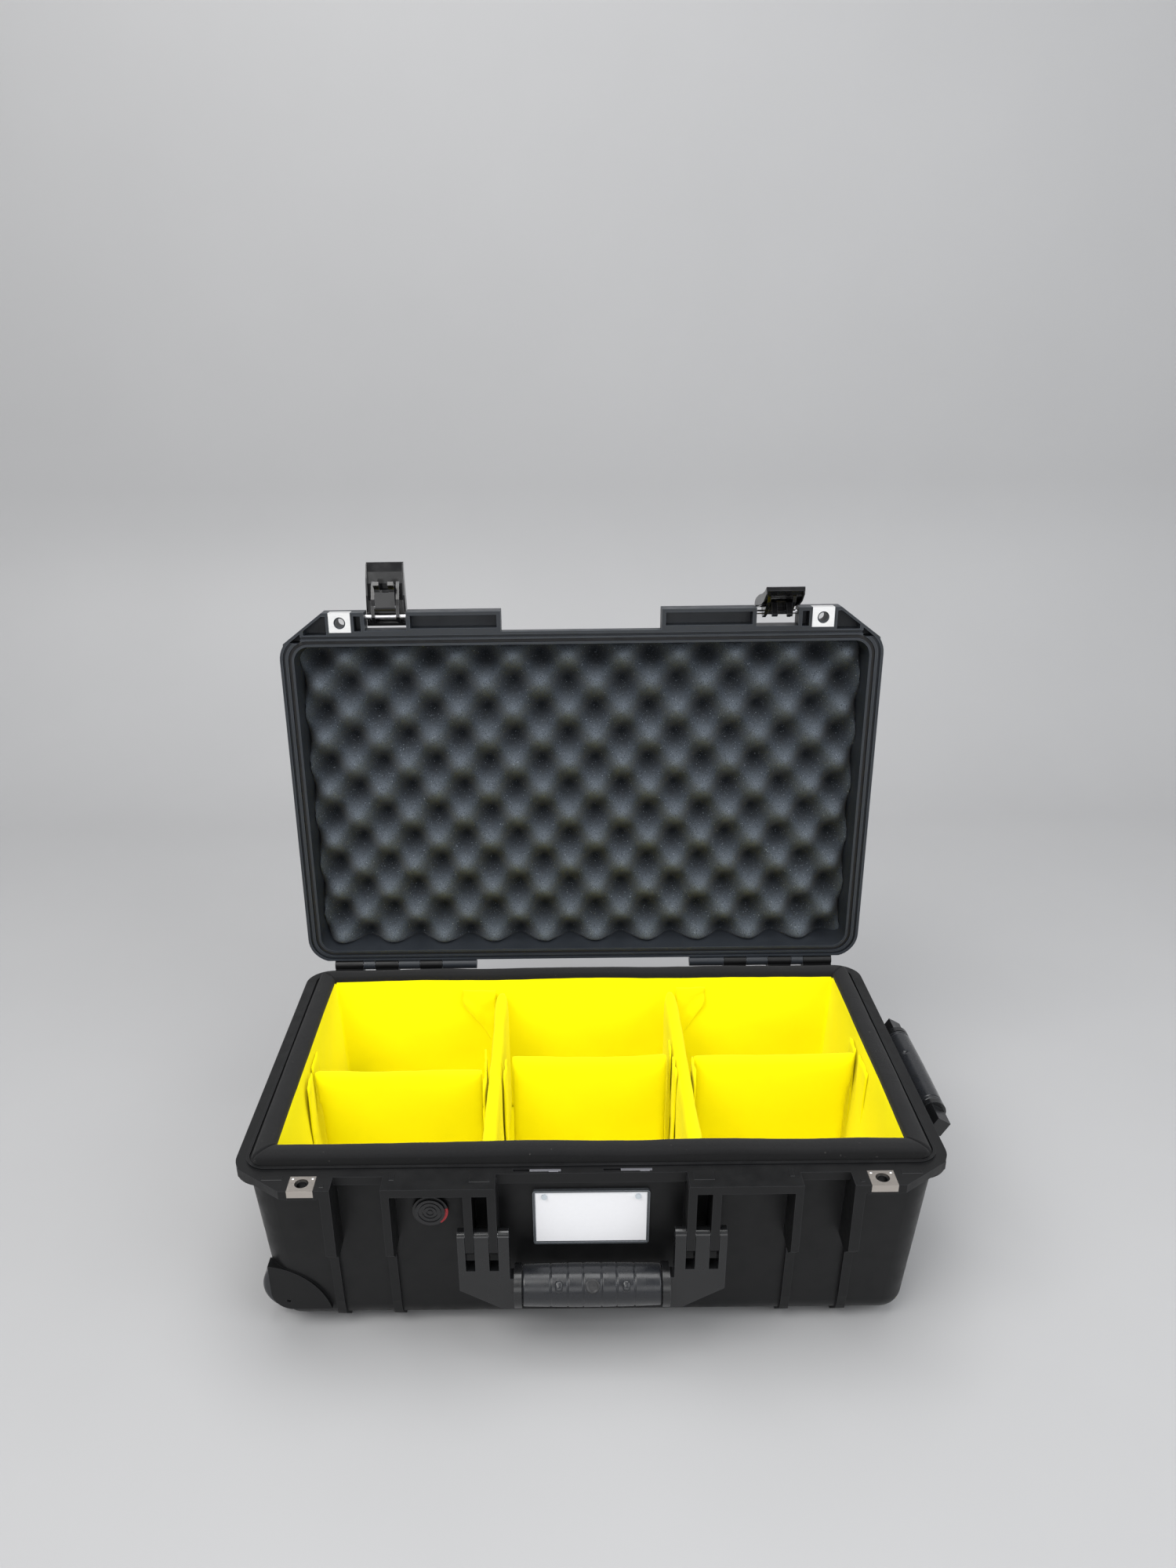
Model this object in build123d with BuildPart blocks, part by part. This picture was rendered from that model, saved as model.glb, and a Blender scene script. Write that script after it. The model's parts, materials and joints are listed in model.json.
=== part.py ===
"""Wheeled hard equipment case with a hinged lid, two latches, padded dividers and lid foam.

Frame: +X to the right, -Y to the front (the latch side), +Z up.  The origin is on the floor plane,
at the middle of the keel under the base.  Millimetres.  The lid is modelled shut and is then turned
open about the hinge; the latches are modelled shut and are then turned to where they are left.
"""
import math
import os

from build123d import *

os.makedirs("parts", exist_ok=True)

# ---- driving dimensions -------------------------------------------------------------------------
FLANGE_X, FLANGE_Y = 545.0, 324.0        # outside of the rim flange
OPENING_X, OPENING_Y = 520.0, 301.0      # inside of the rim
FLOOR_X, FLOOR_Y = 502.0, 279.0          # inside, at the floor
WALL = 4.5                               # moulded wall
BOTTOM_Z = 7.0                           # underside of the base skin; the feet reach z = 0
RIM_Z = 168.0                            # parting plane of the base
FLANGE_T = 9.0                           # thickness of the rim flange
SHUT_GAP = 0.4                           # between the two rims when shut
LID_RIM_Z = RIM_Z + SHUT_GAP
LID_TOP_Z = 229.0
FLANGE_R = 24.0                          # corner radius of the flange in plan
WALL_R = 19.0                            # corner radius of the walls in plan
FRONT_Y = -180.0                         # front face of the latch shoulders

HINGE_Y, HINGE_Z = 167.0, 172.0
LID_OPEN = 92.8                          # degrees, against its stop
KNUCKLE_R, HINGE_PIN_R = 5.2, 2.5
RUNNING = 0.05                           # radial clearance of a running fit

BAY_X0, BAY_X1 = 156.5, 194.0            # latch bay, on each side of the middle
BAY_X = (BAY_X0 + BAY_X1) / 2
BAY_Y = -164.0                           # back of the bay: the edge of the catch
LATCH_Y, LATCH_Z = -175.0, 178.0         # lever pin
HOOK_Y, HOOK_Z = -176.0, 170.0           # hook pin
LEFT_LEVER_REST, RIGHT_LEVER_REST = 90.0, 15.0
HOOK_REST = 35.0

SHOULDER_X0 = 72.0                       # inner end of a shoulder
PADLOCK_X, PADLOCK_Y = 216.0, -171.0
PADLOCK_R = 4.0
PLATE_T = 1.5
EYE_H = 8.0                              # height of the padlock eye in the base

VALVE_X, VALVE_Z, VALVE_R = -124.0, 128.0, 13.75
CARD_Z0, CARD_Z1, CARD_X = 92.0, 146.6, 45.0

HANDLE_PIN_Y, HANDLE_PIN_Z = -174.0, 119.5
HANDLE_GRIP_Z = 67.5
HANDLE_GRIP_R = 15.5
SIDE_PIN_X, SIDE_PIN_Z = 268.5, 112.0
SIDE_ARM = 40.0
SIDE_GRIP_R = 10.5
SIDE_REST = 150.0                        # degrees up from hanging

WHEEL_X, WHEEL_Z, WHEEL_R = -244.6, 32.7, 25.0
WHEEL_Y0, WHEEL_Y1 = 112.5, 133.5        # the wheel's faces, on each side of the middle
WELL_R = 28.0
AXLE_R = 4.0
CHEEK_X, CHEEK_Z, CHEEK_R = -266.0, 12.0, 57.0
CHEEK_Y = 149.0
CHEEK_LEFT, CHEEK_LOW_Z = -258.1, 24.0

TUBE_Y = 40.0                            # trolley tubes, each side of the middle
TUBE_W, TUBE_H, TUBE_WALL = 20.0, 10.0, 1.2
TUBE_Z = 9.2                             # height of the tubes' middle
CHANNEL_ROOF = TUBE_Z + TUBE_H / 2
HUMP_Z = CHANNEL_ROOF + WALL

PAD_X, PAD_Y = 16.0, 18.0                # thickness of the padded surround
PAD_GAP = 1.0
PAD_TOP_Z = RIM_Z + 7.0
PAD_FLOOR_Z = 30.0
DIVIDER_TOP_Z = 165.0
DIVIDER_T = 12.0

TAPER_X = (OPENING_X - FLOOR_X) / 2 / (RIM_Z - BOTTOM_Z - WALL)
TAPER_Y = (OPENING_Y - FLOOR_Y) / 2 / (RIM_Z - BOTTOM_Z - WALL)


# ---- helpers -------------------------------------------------------------------------------------
def block(x0, x1, y0, y1, z0, z1, mode=Mode.ADD):
    """A box between two corners."""
    with Locations(((x0 + x1) / 2, (y0 + y1) / 2, (z0 + z1) / 2)):
        Box(x1 - x0, y1 - y0, z1 - z0, mode=mode)


def rod_x(x0, x1, y, z, radius, mode=Mode.ADD):
    """A cylinder along X."""
    with Locations(((x0 + x1) / 2, y, z)):
        Cylinder(radius, x1 - x0, rotation=(0, 90, 0), mode=mode)


def rod_y(x, y0, y1, z, radius, mode=Mode.ADD):
    """A cylinder along Y."""
    with Locations((x, (y0 + y1) / 2, z)):
        Cylinder(radius, y1 - y0, rotation=(90, 0, 0), mode=mode)


def rod_z(x, y, z0, z1, radius, mode=Mode.ADD):
    """A cylinder along Z."""
    with Locations((x, y, (z0 + z1) / 2)):
        Cylinder(radius, z1 - z0, mode=mode)


def tub(z0, size0, z1, size1, radius, mode=Mode.ADD):
    """A tapered block with rounded corners in plan, between two heights."""
    with BuildSketch(Plane.XY.offset(z0)) as low:
        RectangleRounded(size0[0], size0[1], radius)
    with BuildSketch(Plane.XY.offset(z1)) as high:
        RectangleRounded(size1[0], size1[1], radius)
    loft(sections=[low.sketch.face(), high.sketch.face()], mode=mode)


def plan(points, z0, z1, mode=Mode.ADD):
    """An upright prism from an outline in plan."""
    with BuildSketch(Plane.XY.offset(z0)) as outline:
        with BuildLine():
            Polyline(*points, close=True)
        make_face()
    extrude(to_extrude=outline.sketch.face(), amount=z1 - z0, dir=(0, 0, 1), mode=mode)


def profile_x(points, x0, x1, mode=Mode.ADD):
    """A prism along X from an outline in (y, z)."""
    with BuildSketch(Plane.YZ.offset(x0)) as outline:
        with BuildLine():
            Polyline(*points, close=True)
        make_face()
    extrude(to_extrude=outline.sketch.face(), amount=x1 - x0, dir=(1, 0, 0), mode=mode)


def ring(outer, inner, radius, z0, z1, mode=Mode.ADD):
    """A flat rounded-rectangle ring."""
    trim = (outer[0] - inner[0]) / 2
    with BuildSketch(Plane.XY.offset(z0)) as band:
        RectangleRounded(outer[0], outer[1], radius)
        RectangleRounded(inner[0], inner[1], radius - trim, mode=Mode.SUBTRACT)
    extrude(to_extrude=band.sketch.face(), amount=z1 - z0, dir=(0, 0, 1), mode=mode)


def inner_size(z, inset_x=0.0, inset_y=0.0):
    """Inside width and depth of the base at height z, less an inset on each side."""
    below = min(RIM_Z, z) - RIM_Z
    return (
        OPENING_X + 2 * TAPER_X * below - 2 * inset_x,
        OPENING_Y + 2 * TAPER_Y * below - 2 * inset_y,
    )


def outer_size(z):
    """Outside width and depth of the base wall at height z."""
    return inner_size(z, -WALL, -WALL)


def wall_y(z):
    """Outside face of the front wall."""
    return -outer_size(z)[1] / 2


def turn_x(y, z, degrees):
    """A turn about an axis along X through (y, z)."""
    return Location((0, y, z)) * Location((0, 0, 0), (degrees, 0, 0)) * Location((0, -y, -z))


def turn_y(x, z, degrees):
    """A turn about an axis along Y through (x, z)."""
    return Location((x, 0, z)) * Location((0, 0, 0), (0, degrees, 0)) * Location((-x, 0, -z))


def shoulder_outline(side, front, inset=0.0):
    """Plan outline of a latch shoulder, from its inner end round the chamfered corner."""
    corner_x = FLANGE_X / 2 - 4.0
    return [
        (side * (SHOULDER_X0 + inset), -150.0),
        (side * (SHOULDER_X0 + inset), front + inset),
        (side * (232.0 - inset * 0.4), front + inset),
        (side * (corner_x - inset), front + 27.0 + inset * 0.4),
        (side * (corner_x - inset), -140.0),
        (side * 240.0, -140.0),
    ]


# ---- base ----------------------------------------------------------------------------------------
HUMP_Y = 62.0
HUMP_X0 = -160.0
GRIP_RECESS_X, GRIP_RECESS_Z = 250.0, 30.0
WELL_Y0, WELL_Y1 = 109.0, 135.5


# Room inside the base: the tapered tub, less the trolley hump and the two wheel housings.
with BuildPart() as cavity:
    tub(BOTTOM_Z + WALL, (FLOOR_X, FLOOR_Y), RIM_Z + 5, (OPENING_X, OPENING_Y), WALL_R - WALL)
    fillet(cavity.edges().group_by(Axis.Z)[0], 8.0)
    block(HUMP_X0, 270, -HUMP_Y, HUMP_Y, 0, HUMP_Z, mode=Mode.SUBTRACT)
    for side in (-1, 1):
        y0, y1 = sorted((side * (WELL_Y0 - WALL), side * 160))
        block(-280, WHEEL_X + WELL_R + 3.5, y0, y1, 0, WHEEL_Z + WELL_R + 3.5, mode=Mode.SUBTRACT)

# Smooth cheek over each wheel, on the front and back walls, rounded at its lower outer corner.
with BuildPart() as wheel_cheeks:
    for side in (-1, 1):
        with BuildSketch(Plane.XZ.offset(-side * 138.0)) as outline:
            with Locations((CHEEK_X, CHEEK_Z)):
                Circle(CHEEK_R)
            with Locations((CHEEK_LEFT + 50, CHEEK_LOW_Z + 50)):
                RectangleRounded(100, 100, 17, mode=Mode.INTERSECT)
        extrude(to_extrude=outline.sketch.face(), amount=CHEEK_Y - 138.0, dir=(0, side, 0))

with BuildPart() as base_shell:
    tub(BOTTOM_Z, outer_size(BOTTOM_Z), RIM_Z - 1, outer_size(RIM_Z - 1), WALL_R)
    fillet(base_shell.edges().group_by(Axis.Z)[0], 18.5)
    tub(RIM_Z - FLANGE_T, (FLANGE_X, FLANGE_Y), RIM_Z, (FLANGE_X, FLANGE_Y), FLANGE_R)
    for side in (-1, 1):
        # latch shoulder, its skirt and the padlock block
        plan(shoulder_outline(side, FRONT_Y), RIM_Z - 7.0, RIM_Z)
        x0, x1 = sorted((side * 204.0, side * 228.0))
        block(x0, x1, FRONT_Y, -150, RIM_Z - EYE_H, RIM_Z)
        # box ribs each side of the bay, thin ridges below them and the skid rails underneath
        for near, far, drop in ((BAY_X0 - 6, BAY_X0, 70), (BAY_X1, BAY_X1 + 8, 70), (71.5, 78, 68), (89.5, 96, 68)):
            x0, x1 = sorted((side * near, side * far))
            low = RIM_Z - drop
            rib = [(-150, RIM_Z - 3), (FRONT_Y, RIM_Z - 3), (FRONT_Y, low + 8), (FRONT_Y + 8, low), (-148, low)]
            profile_x(rib, x0, x1)
        for middle in (157.0, 203.0):
            x0, x1 = side * middle - 3.5, side * middle + 3.5
            ridge = [
                (-140, 110), (wall_y(110) - 3.5, 110), (wall_y(32) - 3.5, 32), (-147.0, 20), (-146.0, 16.5),
                (-129.5, 0), (-120, 0), (-120, 30),
            ]
            profile_x(ridge, x0, x1)
            profile_x([(y * -1, z) for y, z in ridge], x0, x1)
            block(x0, x1, -128, 128, 0, BOTTOM_Z + 3)
    add(wheel_cheeks.part)
    block(-300, CHEEK_LEFT, -152, 152, -5, 100, mode=Mode.SUBTRACT)
    # brackets of the side handle on the right-hand end
    for y in (-64.5, 64.5):
        block(258, 274, y - 4.5, y + 4.5, SIDE_PIN_Z - 12, RIM_Z - 3)
    add(cavity.part, mode=Mode.SUBTRACT)
    # trolley channel under the hump, with the keel left standing in the middle
    for side in (-1, 1):
        y0, y1 = sorted((side * 6.0, side * (HUMP_Y - 6)))
        block(HUMP_X0 + 6, 290, y0, y1, -1, CHANNEL_ROOF, mode=Mode.SUBTRACT)
    block(HUMP_X0, 238, -6, 6, 0, CHANNEL_ROOF)
    block(GRIP_RECESS_X, 300, -60, 60, -1, GRIP_RECESS_Z, mode=Mode.SUBTRACT)
    # inner wall of the recess for the trolley grip
    block(GRIP_RECESS_X - WALL, GRIP_RECESS_X, -HUMP_Y, HUMP_Y, CHANNEL_ROOF, GRIP_RECESS_Z + WALL)
    block(GRIP_RECESS_X - WALL, 256, -HUMP_Y, HUMP_Y, GRIP_RECESS_Z, GRIP_RECESS_Z + WALL)
    for side in (-1, 1):
        # wheel wells, open to the end and to the floor
        y0, y1 = sorted((side * WELL_Y0, side * WELL_Y1))
        rod_y(WHEEL_X, y0, y1, WHEEL_Z, WELL_R, mode=Mode.SUBTRACT)
        block(-280, WHEEL_X + 12, y0, y1, -1, WHEEL_Z, mode=Mode.SUBTRACT)
        y0, y1 = sorted((side * 100.0, side * 146.5))
        rod_y(WHEEL_X, y0, y1, WHEEL_Z, AXLE_R, mode=Mode.SUBTRACT)
        y0, y1 = sorted((side * 146.0, side * 150.5))
        rod_y(WHEEL_X, y0, y1, WHEEL_Z, 1.7, mode=Mode.SUBTRACT)
        # latch bay and the catch: a flange edge with its wall set back underneath
        x0, x1 = sorted((side * BAY_X0, side * BAY_X1))
        block(x0, x1, -190, BAY_Y, 90, RIM_Z + 1, mode=Mode.SUBTRACT)
        # handle pin holes, and the notch that takes the padlock eye
        x0, x1 = sorted((side * 60.0, side * 110.0))
        rod_x(x0, x1, HANDLE_PIN_Y, HANDLE_PIN_Z, 2.5, mode=Mode.SUBTRACT)
        x0, x1 = sorted((side * 206.0, side * 226.0))
        block(x0, x1, FRONT_Y - 1, -162.5, RIM_Z - EYE_H - 1, RIM_Z + 1, mode=Mode.SUBTRACT)
    rod_y(SIDE_PIN_X, -70, 70, SIDE_PIN_Z, 2.5, mode=Mode.SUBTRACT)
    # pockets of the two stop tabs in the front rim, the sealing ridge and the valve seat
    for x0, x1 in ((-59.0, -46.6), (9.0, 22.2)):
        block(x0, x1, -160.2, -156.8, RIM_Z - 1.6, RIM_Z + 1, mode=Mode.SUBTRACT)
    ring((529, 310), (524.6, 305.6), 18.0, RIM_Z - 1, RIM_Z + 1.8)
    rod_y(VALVE_X, -170, -140, VALVE_Z, 9.0, mode=Mode.SUBTRACT)
    # hinge knuckles of the base: a web up from the flange to a barrel on the hinge line
    for side in (-1, 1):
        for near, far in ((140.9, 163.0), (184.8, 207.7), (220.0, 248.0)):
            x0, x1 = sorted((side * near, side * far))
            block(x0, x1, 157, HINGE_Y + KNUCKLE_R, RIM_Z - FLANGE_T, RIM_Z)
            block(x0, x1, HINGE_Y - KNUCKLE_R, HINGE_Y + KNUCKLE_R, RIM_Z - 1, HINGE_Z - 3)
            rod_x(x0, x1, HINGE_Y, HINGE_Z, KNUCKLE_R)
        x0, x1 = sorted((side * 106.0, side * 248.5))
        rod_x(x0, x1, HINGE_Y, HINGE_Z, HINGE_PIN_R, mode=Mode.SUBTRACT)

with BuildPart() as hinge_pins:
    for side in (-1, 1):
        x0, x1 = sorted((side * 107.0, side * 247.5))
        rod_x(x0, x1, HINGE_Y, HINGE_Z, HINGE_PIN_R)

# Padlock eye: a moulded block in the notch, under a folded steel plate.
with BuildPart() as base_padlock_eyes:
    for side in (-1, 1):
        x0, x1 = sorted((side * 206.1, side * 225.9))
        block(x0, x1, FRONT_Y + PLATE_T, -162.6, RIM_Z - EYE_H, RIM_Z - PLATE_T)
        block(x0, x1, FRONT_Y, FRONT_Y + PLATE_T, RIM_Z - EYE_H, RIM_Z - 6.2)
        rod_z(side * PADLOCK_X, PADLOCK_Y, 100, RIM_Z + 1, PADLOCK_R, mode=Mode.SUBTRACT)

with BuildPart() as base_padlock_guards:
    for side in (-1, 1):
        x0, x1 = sorted((side * 206.2, side * 225.8))
        block(x0, x1, FRONT_Y, -162.7, RIM_Z - PLATE_T, RIM_Z)
        block(x0, x1, FRONT_Y, FRONT_Y + PLATE_T, RIM_Z - 6.0, RIM_Z)
        rod_z(side * PADLOCK_X, PADLOCK_Y, RIM_Z - 3, RIM_Z + 1, 5.25, mode=Mode.SUBTRACT)

# ---- pressure valve --------------------------------------------------------------------------------
VALVE_WALL_Y = wall_y(VALVE_Z)
with BuildPart() as valve_body:
    rod_y(VALVE_X, VALVE_WALL_Y - 5.0, VALVE_WALL_Y - 1.2, VALVE_Z, 11.5)
    rod_y(VALVE_X, VALVE_WALL_Y - 1.5, VALVE_WALL_Y + WALL + 3.9, VALVE_Z, 8.9)
    for radius in (9.5, 6.0, 3.0):
        rod_y(VALVE_X, VALVE_WALL_Y - 6.0, VALVE_WALL_Y - 4.2, VALVE_Z, radius, mode=Mode.SUBTRACT)
        rod_y(VALVE_X, VALVE_WALL_Y - 4.9, VALVE_WALL_Y - 3.0, VALVE_Z, radius - 1.2)

with BuildPart() as valve_ring:
    rod_y(VALVE_X, VALVE_WALL_Y - 3.4, VALVE_WALL_Y - 1.4, VALVE_Z, VALVE_R)
    rod_y(VALVE_X, VALVE_WALL_Y - 4.0, VALVE_WALL_Y + 1.0, VALVE_Z, 11.5, mode=Mode.SUBTRACT)

with BuildPart() as valve_nut:
    with BuildSketch(Plane.XZ.offset(-(VALVE_WALL_Y + WALL + 1.2))) as hexagon:
        with Locations((VALVE_X, VALVE_Z)):
            RegularPolygon(12.5, 6)
            Circle(8.9, mode=Mode.SUBTRACT)
    extrude(to_extrude=hexagon.sketch.face(), amount=2.5, dir=(0, 1, 0))

# ---- name card -------------------------------------------------------------------------------------
CARD_PLANE = Plane(
    origin=(0, wall_y((CARD_Z0 + CARD_Z1) / 2) - 0.05, (CARD_Z0 + CARD_Z1) / 2),
    x_dir=(1, 0, 0),
    z_dir=(0, -1, -TAPER_Y),
)
CARD_H = CARD_Z1 - CARD_Z0
with BuildPart() as card_holder:
    with BuildSketch(CARD_PLANE) as back:
        RectangleRounded(2 * CARD_X, CARD_H, 2.5)
    extrude(to_extrude=back.sketch.face(), amount=2.6, dir=CARD_PLANE.z_dir)
    with BuildSketch(CARD_PLANE.offset(0.9)) as window:
        Rectangle(2 * CARD_X - 3.2, CARD_H - 3.2)
    extrude(to_extrude=window.sketch.face(), amount=2.0, dir=CARD_PLANE.z_dir, mode=Mode.SUBTRACT)

with BuildPart() as name_card:
    with BuildSketch(CARD_PLANE.offset(1.0)) as card:
        Rectangle(2 * CARD_X - 4.0, CARD_H - 4.0)
    extrude(to_extrude=card.sketch.face(), amount=0.5, dir=CARD_PLANE.z_dir)

with BuildPart() as card_holder_rivets:
    for x in (-36.0, 36.0):
        with BuildSketch(CARD_PLANE.offset(1.6)) as head:
            with Locations((x, CARD_H / 2 - 6.0)):
                Circle(2.2)
        extrude(to_extrude=head.sketch.face(), amount=1.6, dir=CARD_PLANE.z_dir)

# ---- front handle ----------------------------------------------------------------------------------
with BuildPart() as front_handle_pins:
    for side in (-1, 1):
        x0, x1 = sorted((side * 71.0, side * 97.0))
        rod_x(x0, x1, HANDLE_PIN_Y, HANDLE_PIN_Z, 2.5)

with BuildPart() as front_handle_frame:
    FRAME_Y0, FRAME_Y1 = -180.0, -168.0
    for side in (-1, 1):
        # three eyed lobes on each side, joined below the case's ribs
        for near, far in ((63.0, 71.1), (78.4, 89.1), (96.4, 102.0)):
            x0, x1 = sorted((side * near, side * far))
            block(x0, x1, FRAME_Y0, FRAME_Y1, 88, HANDLE_PIN_Z)
            rod_x(x0, x1, HANDLE_PIN_Y, HANDLE_PIN_Z, 6.0)
        corner = [
            (side * 63.0, 97.0), (side * 102.0, 97.0), (side * 102.0, 71.0), (side * 70.0, 52.5),
            (side * 57.0, 52.5), (side * 57.0, 82.0), (side * 63.0, 82.0),
        ]
        with BuildSketch(Plane.XZ.offset(-FRAME_Y1)) as web:
            with BuildLine():
                Polyline(*corner, close=True)
            make_face()
        extrude(to_extrude=web.sketch.face(), amount=FRAME_Y1 - FRAME_Y0, dir=(0, -1, 0))
        x0, x1 = sorted((side * 54.2, side * 60.0))
        rod_x(x0, x1, -171, HANDLE_GRIP_Z, 17.0)
        x0, x1 = sorted((side * 60.0, side * 112.0))
        rod_x(x0, x1, HANDLE_PIN_Y, HANDLE_PIN_Z, 2.5 + RUNNING, mode=Mode.SUBTRACT)
        # round each case rib's foot the frame is relieved to let it swing
        for near, far in ((71.1, 78.4), (89.1, 96.4)):
            x0, x1 = sorted((side * near, side * far))
            block(x0, x1, FRAME_Y0 - 1, FRAME_Y1 + 1, 90.0, 130.0, mode=Mode.SUBTRACT)
    rod_x(-60, 60, -171, HANDLE_GRIP_Z, 9.0)

with BuildPart() as front_handle_grip:
    rod_x(-54, 54, -171, HANDLE_GRIP_Z, HANDLE_GRIP_R)
    fillet(front_handle_grip.edges().filter_by(GeomType.CIRCLE), 2.0)
    rod_x(-60, 60, -171, HANDLE_GRIP_Z, 9.0, mode=Mode.SUBTRACT)

# ---- side handle -----------------------------------------------------------------------------------
side_swing = turn_y(SIDE_PIN_X, SIDE_PIN_Z, -SIDE_REST)
SIDE_GRIP_Z = SIDE_PIN_Z - SIDE_ARM
with BuildPart() as side_handle_pins:
    for side in (-1, 1):
        y0, y1 = sorted((side * 60.0, side * 79.0))
        rod_y(SIDE_PIN_X, y0, y1, SIDE_PIN_Z, 2.5)

with BuildPart() as side_handle_frame:
    for side in (-1, 1):
        y0, y1 = sorted((side * 69.5, side * 79.5))
        block(SIDE_PIN_X - 5, SIDE_PIN_X + 5, y0, y1, SIDE_GRIP_Z + 6, SIDE_PIN_Z)
        rod_y(SIDE_PIN_X, y0, y1, SIDE_PIN_Z, 5.0)
        arm_foot = [
            (SIDE_PIN_X - 6, side * 79.5), (SIDE_PIN_X + 6, side * 79.5),
            (SIDE_PIN_X + 6, side * 58.0), (SIDE_PIN_X - 6, side * 58.0),
        ]
        plan(arm_foot, SIDE_GRIP_Z - 6, SIDE_GRIP_Z + 8)
        y0, y1 = sorted((side * 54.3, side * 60.0))
        rod_y(SIDE_PIN_X, y0, y1, SIDE_GRIP_Z, SIDE_GRIP_R)
        y0, y1 = sorted((side * 60.0, side * 79.0))
        rod_y(SIDE_PIN_X, y0, y1, SIDE_PIN_Z, 2.5 + RUNNING, mode=Mode.SUBTRACT)
    rod_y(SIDE_PIN_X, -60, 60, SIDE_GRIP_Z, 6.0)

with BuildPart() as side_handle_grip:
    rod_y(SIDE_PIN_X, -54, 54, SIDE_GRIP_Z, SIDE_GRIP_R)
    fillet(side_handle_grip.edges().filter_by(GeomType.CIRCLE), 1.5)
    rod_y(SIDE_PIN_X, -60, 60, SIDE_GRIP_Z, 6.0, mode=Mode.SUBTRACT)

# ---- wheels ----------------------------------------------------------------------------------------
with BuildPart() as wheel_axles:
    for side in (-1, 1):
        y0, y1 = sorted((side * 105.5, side * 146.3))
        rod_y(WHEEL_X, y0, y1, WHEEL_Z, AXLE_R)

wheels = {}
for place, side in (("front", -1), ("rear", 1)):
    y0, y1 = sorted((side * WHEEL_Y0, side * WHEEL_Y1))
    with BuildPart() as wheel_hub:
        rod_y(WHEEL_X, y0, y1, WHEEL_Z, 17.0)
        rod_y(WHEEL_X, y0 - 1, y1 + 1, WHEEL_Z, 8.0, mode=Mode.SUBTRACT)
        for end in (y0, y1):
            rod_y(WHEEL_X, end - 2.5, end + 2.5, WHEEL_Z, 15.0, mode=Mode.SUBTRACT)
            rod_y(WHEEL_X, max(y0, end - 2.5), min(y1, end + 2.5), WHEEL_Z, 10.0)
        rod_y(WHEEL_X, y0 - 1, y1 + 1, WHEEL_Z, 8.0, mode=Mode.SUBTRACT)
    with BuildPart() as wheel_tyre:
        rod_y(WHEEL_X, y0, y1, WHEEL_Z, WHEEL_R)
        fillet(wheel_tyre.edges().filter_by(GeomType.CIRCLE), 3.5)
        rod_y(WHEEL_X, y0 - 1, y1 + 1, WHEEL_Z, 17.0, mode=Mode.SUBTRACT)
    with BuildPart() as wheel_bearings:
        for start in (y0 + 0.5, y1 - 6.5):
            rod_y(WHEEL_X, start, start + 6.0, WHEEL_Z, 8.0)
        rod_y(WHEEL_X, y0 - 1, y1 + 1, WHEEL_Z, AXLE_R + RUNNING, mode=Mode.SUBTRACT)
    wheels[place + "_wheel_hub"] = wheel_hub
    wheels[place + "_wheel_tyre"] = wheel_tyre
    wheels[place + "_wheel_bearings"] = wheel_bearings

# ---- trolley ---------------------------------------------------------------------------------------
TUBE_X0, TUBE_X1 = -150.0, 247.0
INNER_W, INNER_H = TUBE_W - 2 * TUBE_WALL - 0.6, TUBE_H - 2 * TUBE_WALL - 0.6
TROLLEY_GRIP_X0, TROLLEY_GRIP_X1 = 257.0, 272.0
with BuildPart() as trolley_outer_tubes:
    for side in (-1, 1):
        y = side * TUBE_Y
        block(TUBE_X0, TUBE_X1, y - TUBE_W / 2, y + TUBE_W / 2, TUBE_Z - TUBE_H / 2, CHANNEL_ROOF)
        inner_y, inner_z = TUBE_W / 2 - TUBE_WALL, TUBE_H / 2 - TUBE_WALL
        block(
            TUBE_X0 - 1, TUBE_X1 + 1, y - inner_y, y + inner_y, TUBE_Z - inner_z, TUBE_Z + inner_z,
            mode=Mode.SUBTRACT,
        )

with BuildPart() as trolley_collars:
    for side in (-1, 1):
        for x0, x1 in ((-148, -136), (232, 246)):
            y = side * TUBE_Y
            block(x0, x1, y - 14, y + 14, 1.6, CHANNEL_ROOF)
            block(x0 - 1, x1 + 1, y - TUBE_W / 2, y + TUBE_W / 2, TUBE_Z - TUBE_H / 2, 20, mode=Mode.SUBTRACT)

with BuildPart() as trolley_screws:
    for x in (-142, 239):
        for side in (-1, 1):
            for y in (side * TUBE_Y - 12, side * TUBE_Y + 12):
                rod_z(x, y, 0.8, 1.6, 1.8)

with BuildPart() as trolley_inner_tubes:
    for side in (-1, 1):
        y = side * TUBE_Y
        block(-140, 266, y - INNER_W / 2, y + INNER_W / 2, TUBE_Z - INNER_H / 2, TUBE_Z + INNER_H / 2)
        block(
            -141, 267, y - INNER_W / 2 + 1, y + INNER_W / 2 - 1, TUBE_Z - INNER_H / 2 + 1,
            TUBE_Z + INNER_H / 2 - 1, mode=Mode.SUBTRACT,
        )

with BuildPart() as trolley_grip:
    block(TROLLEY_GRIP_X0, TROLLEY_GRIP_X1, -56, 56, 2.5, 27)
    fillet(trolley_grip.edges().filter_by(Axis.Y), 4.0)
    fillet(trolley_grip.edges().filter_by(Axis.Z), 2.0)
    for side in (-1, 1):
        y = side * TUBE_Y
        block(250, 266, y - INNER_W / 2, y + INNER_W / 2, TUBE_Z - INNER_H / 2, TUBE_Z + INNER_H / 2, mode=Mode.SUBTRACT)
    block(262, 280, -15.3, 15.3, 10.7, 21.3, mode=Mode.SUBTRACT)

with BuildPart() as trolley_grip_screws:
    for side in (-1, 1):
        rod_z(262.5, side * TUBE_Y, 2.0, 2.5, 2.0)

with BuildPart() as trolley_button:
    block(264.5, 274.0, -15, 15, 11, 21)
    fillet(trolley_button.faces().sort_by(Axis.X)[-1].edges(), 1.5)

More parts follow.
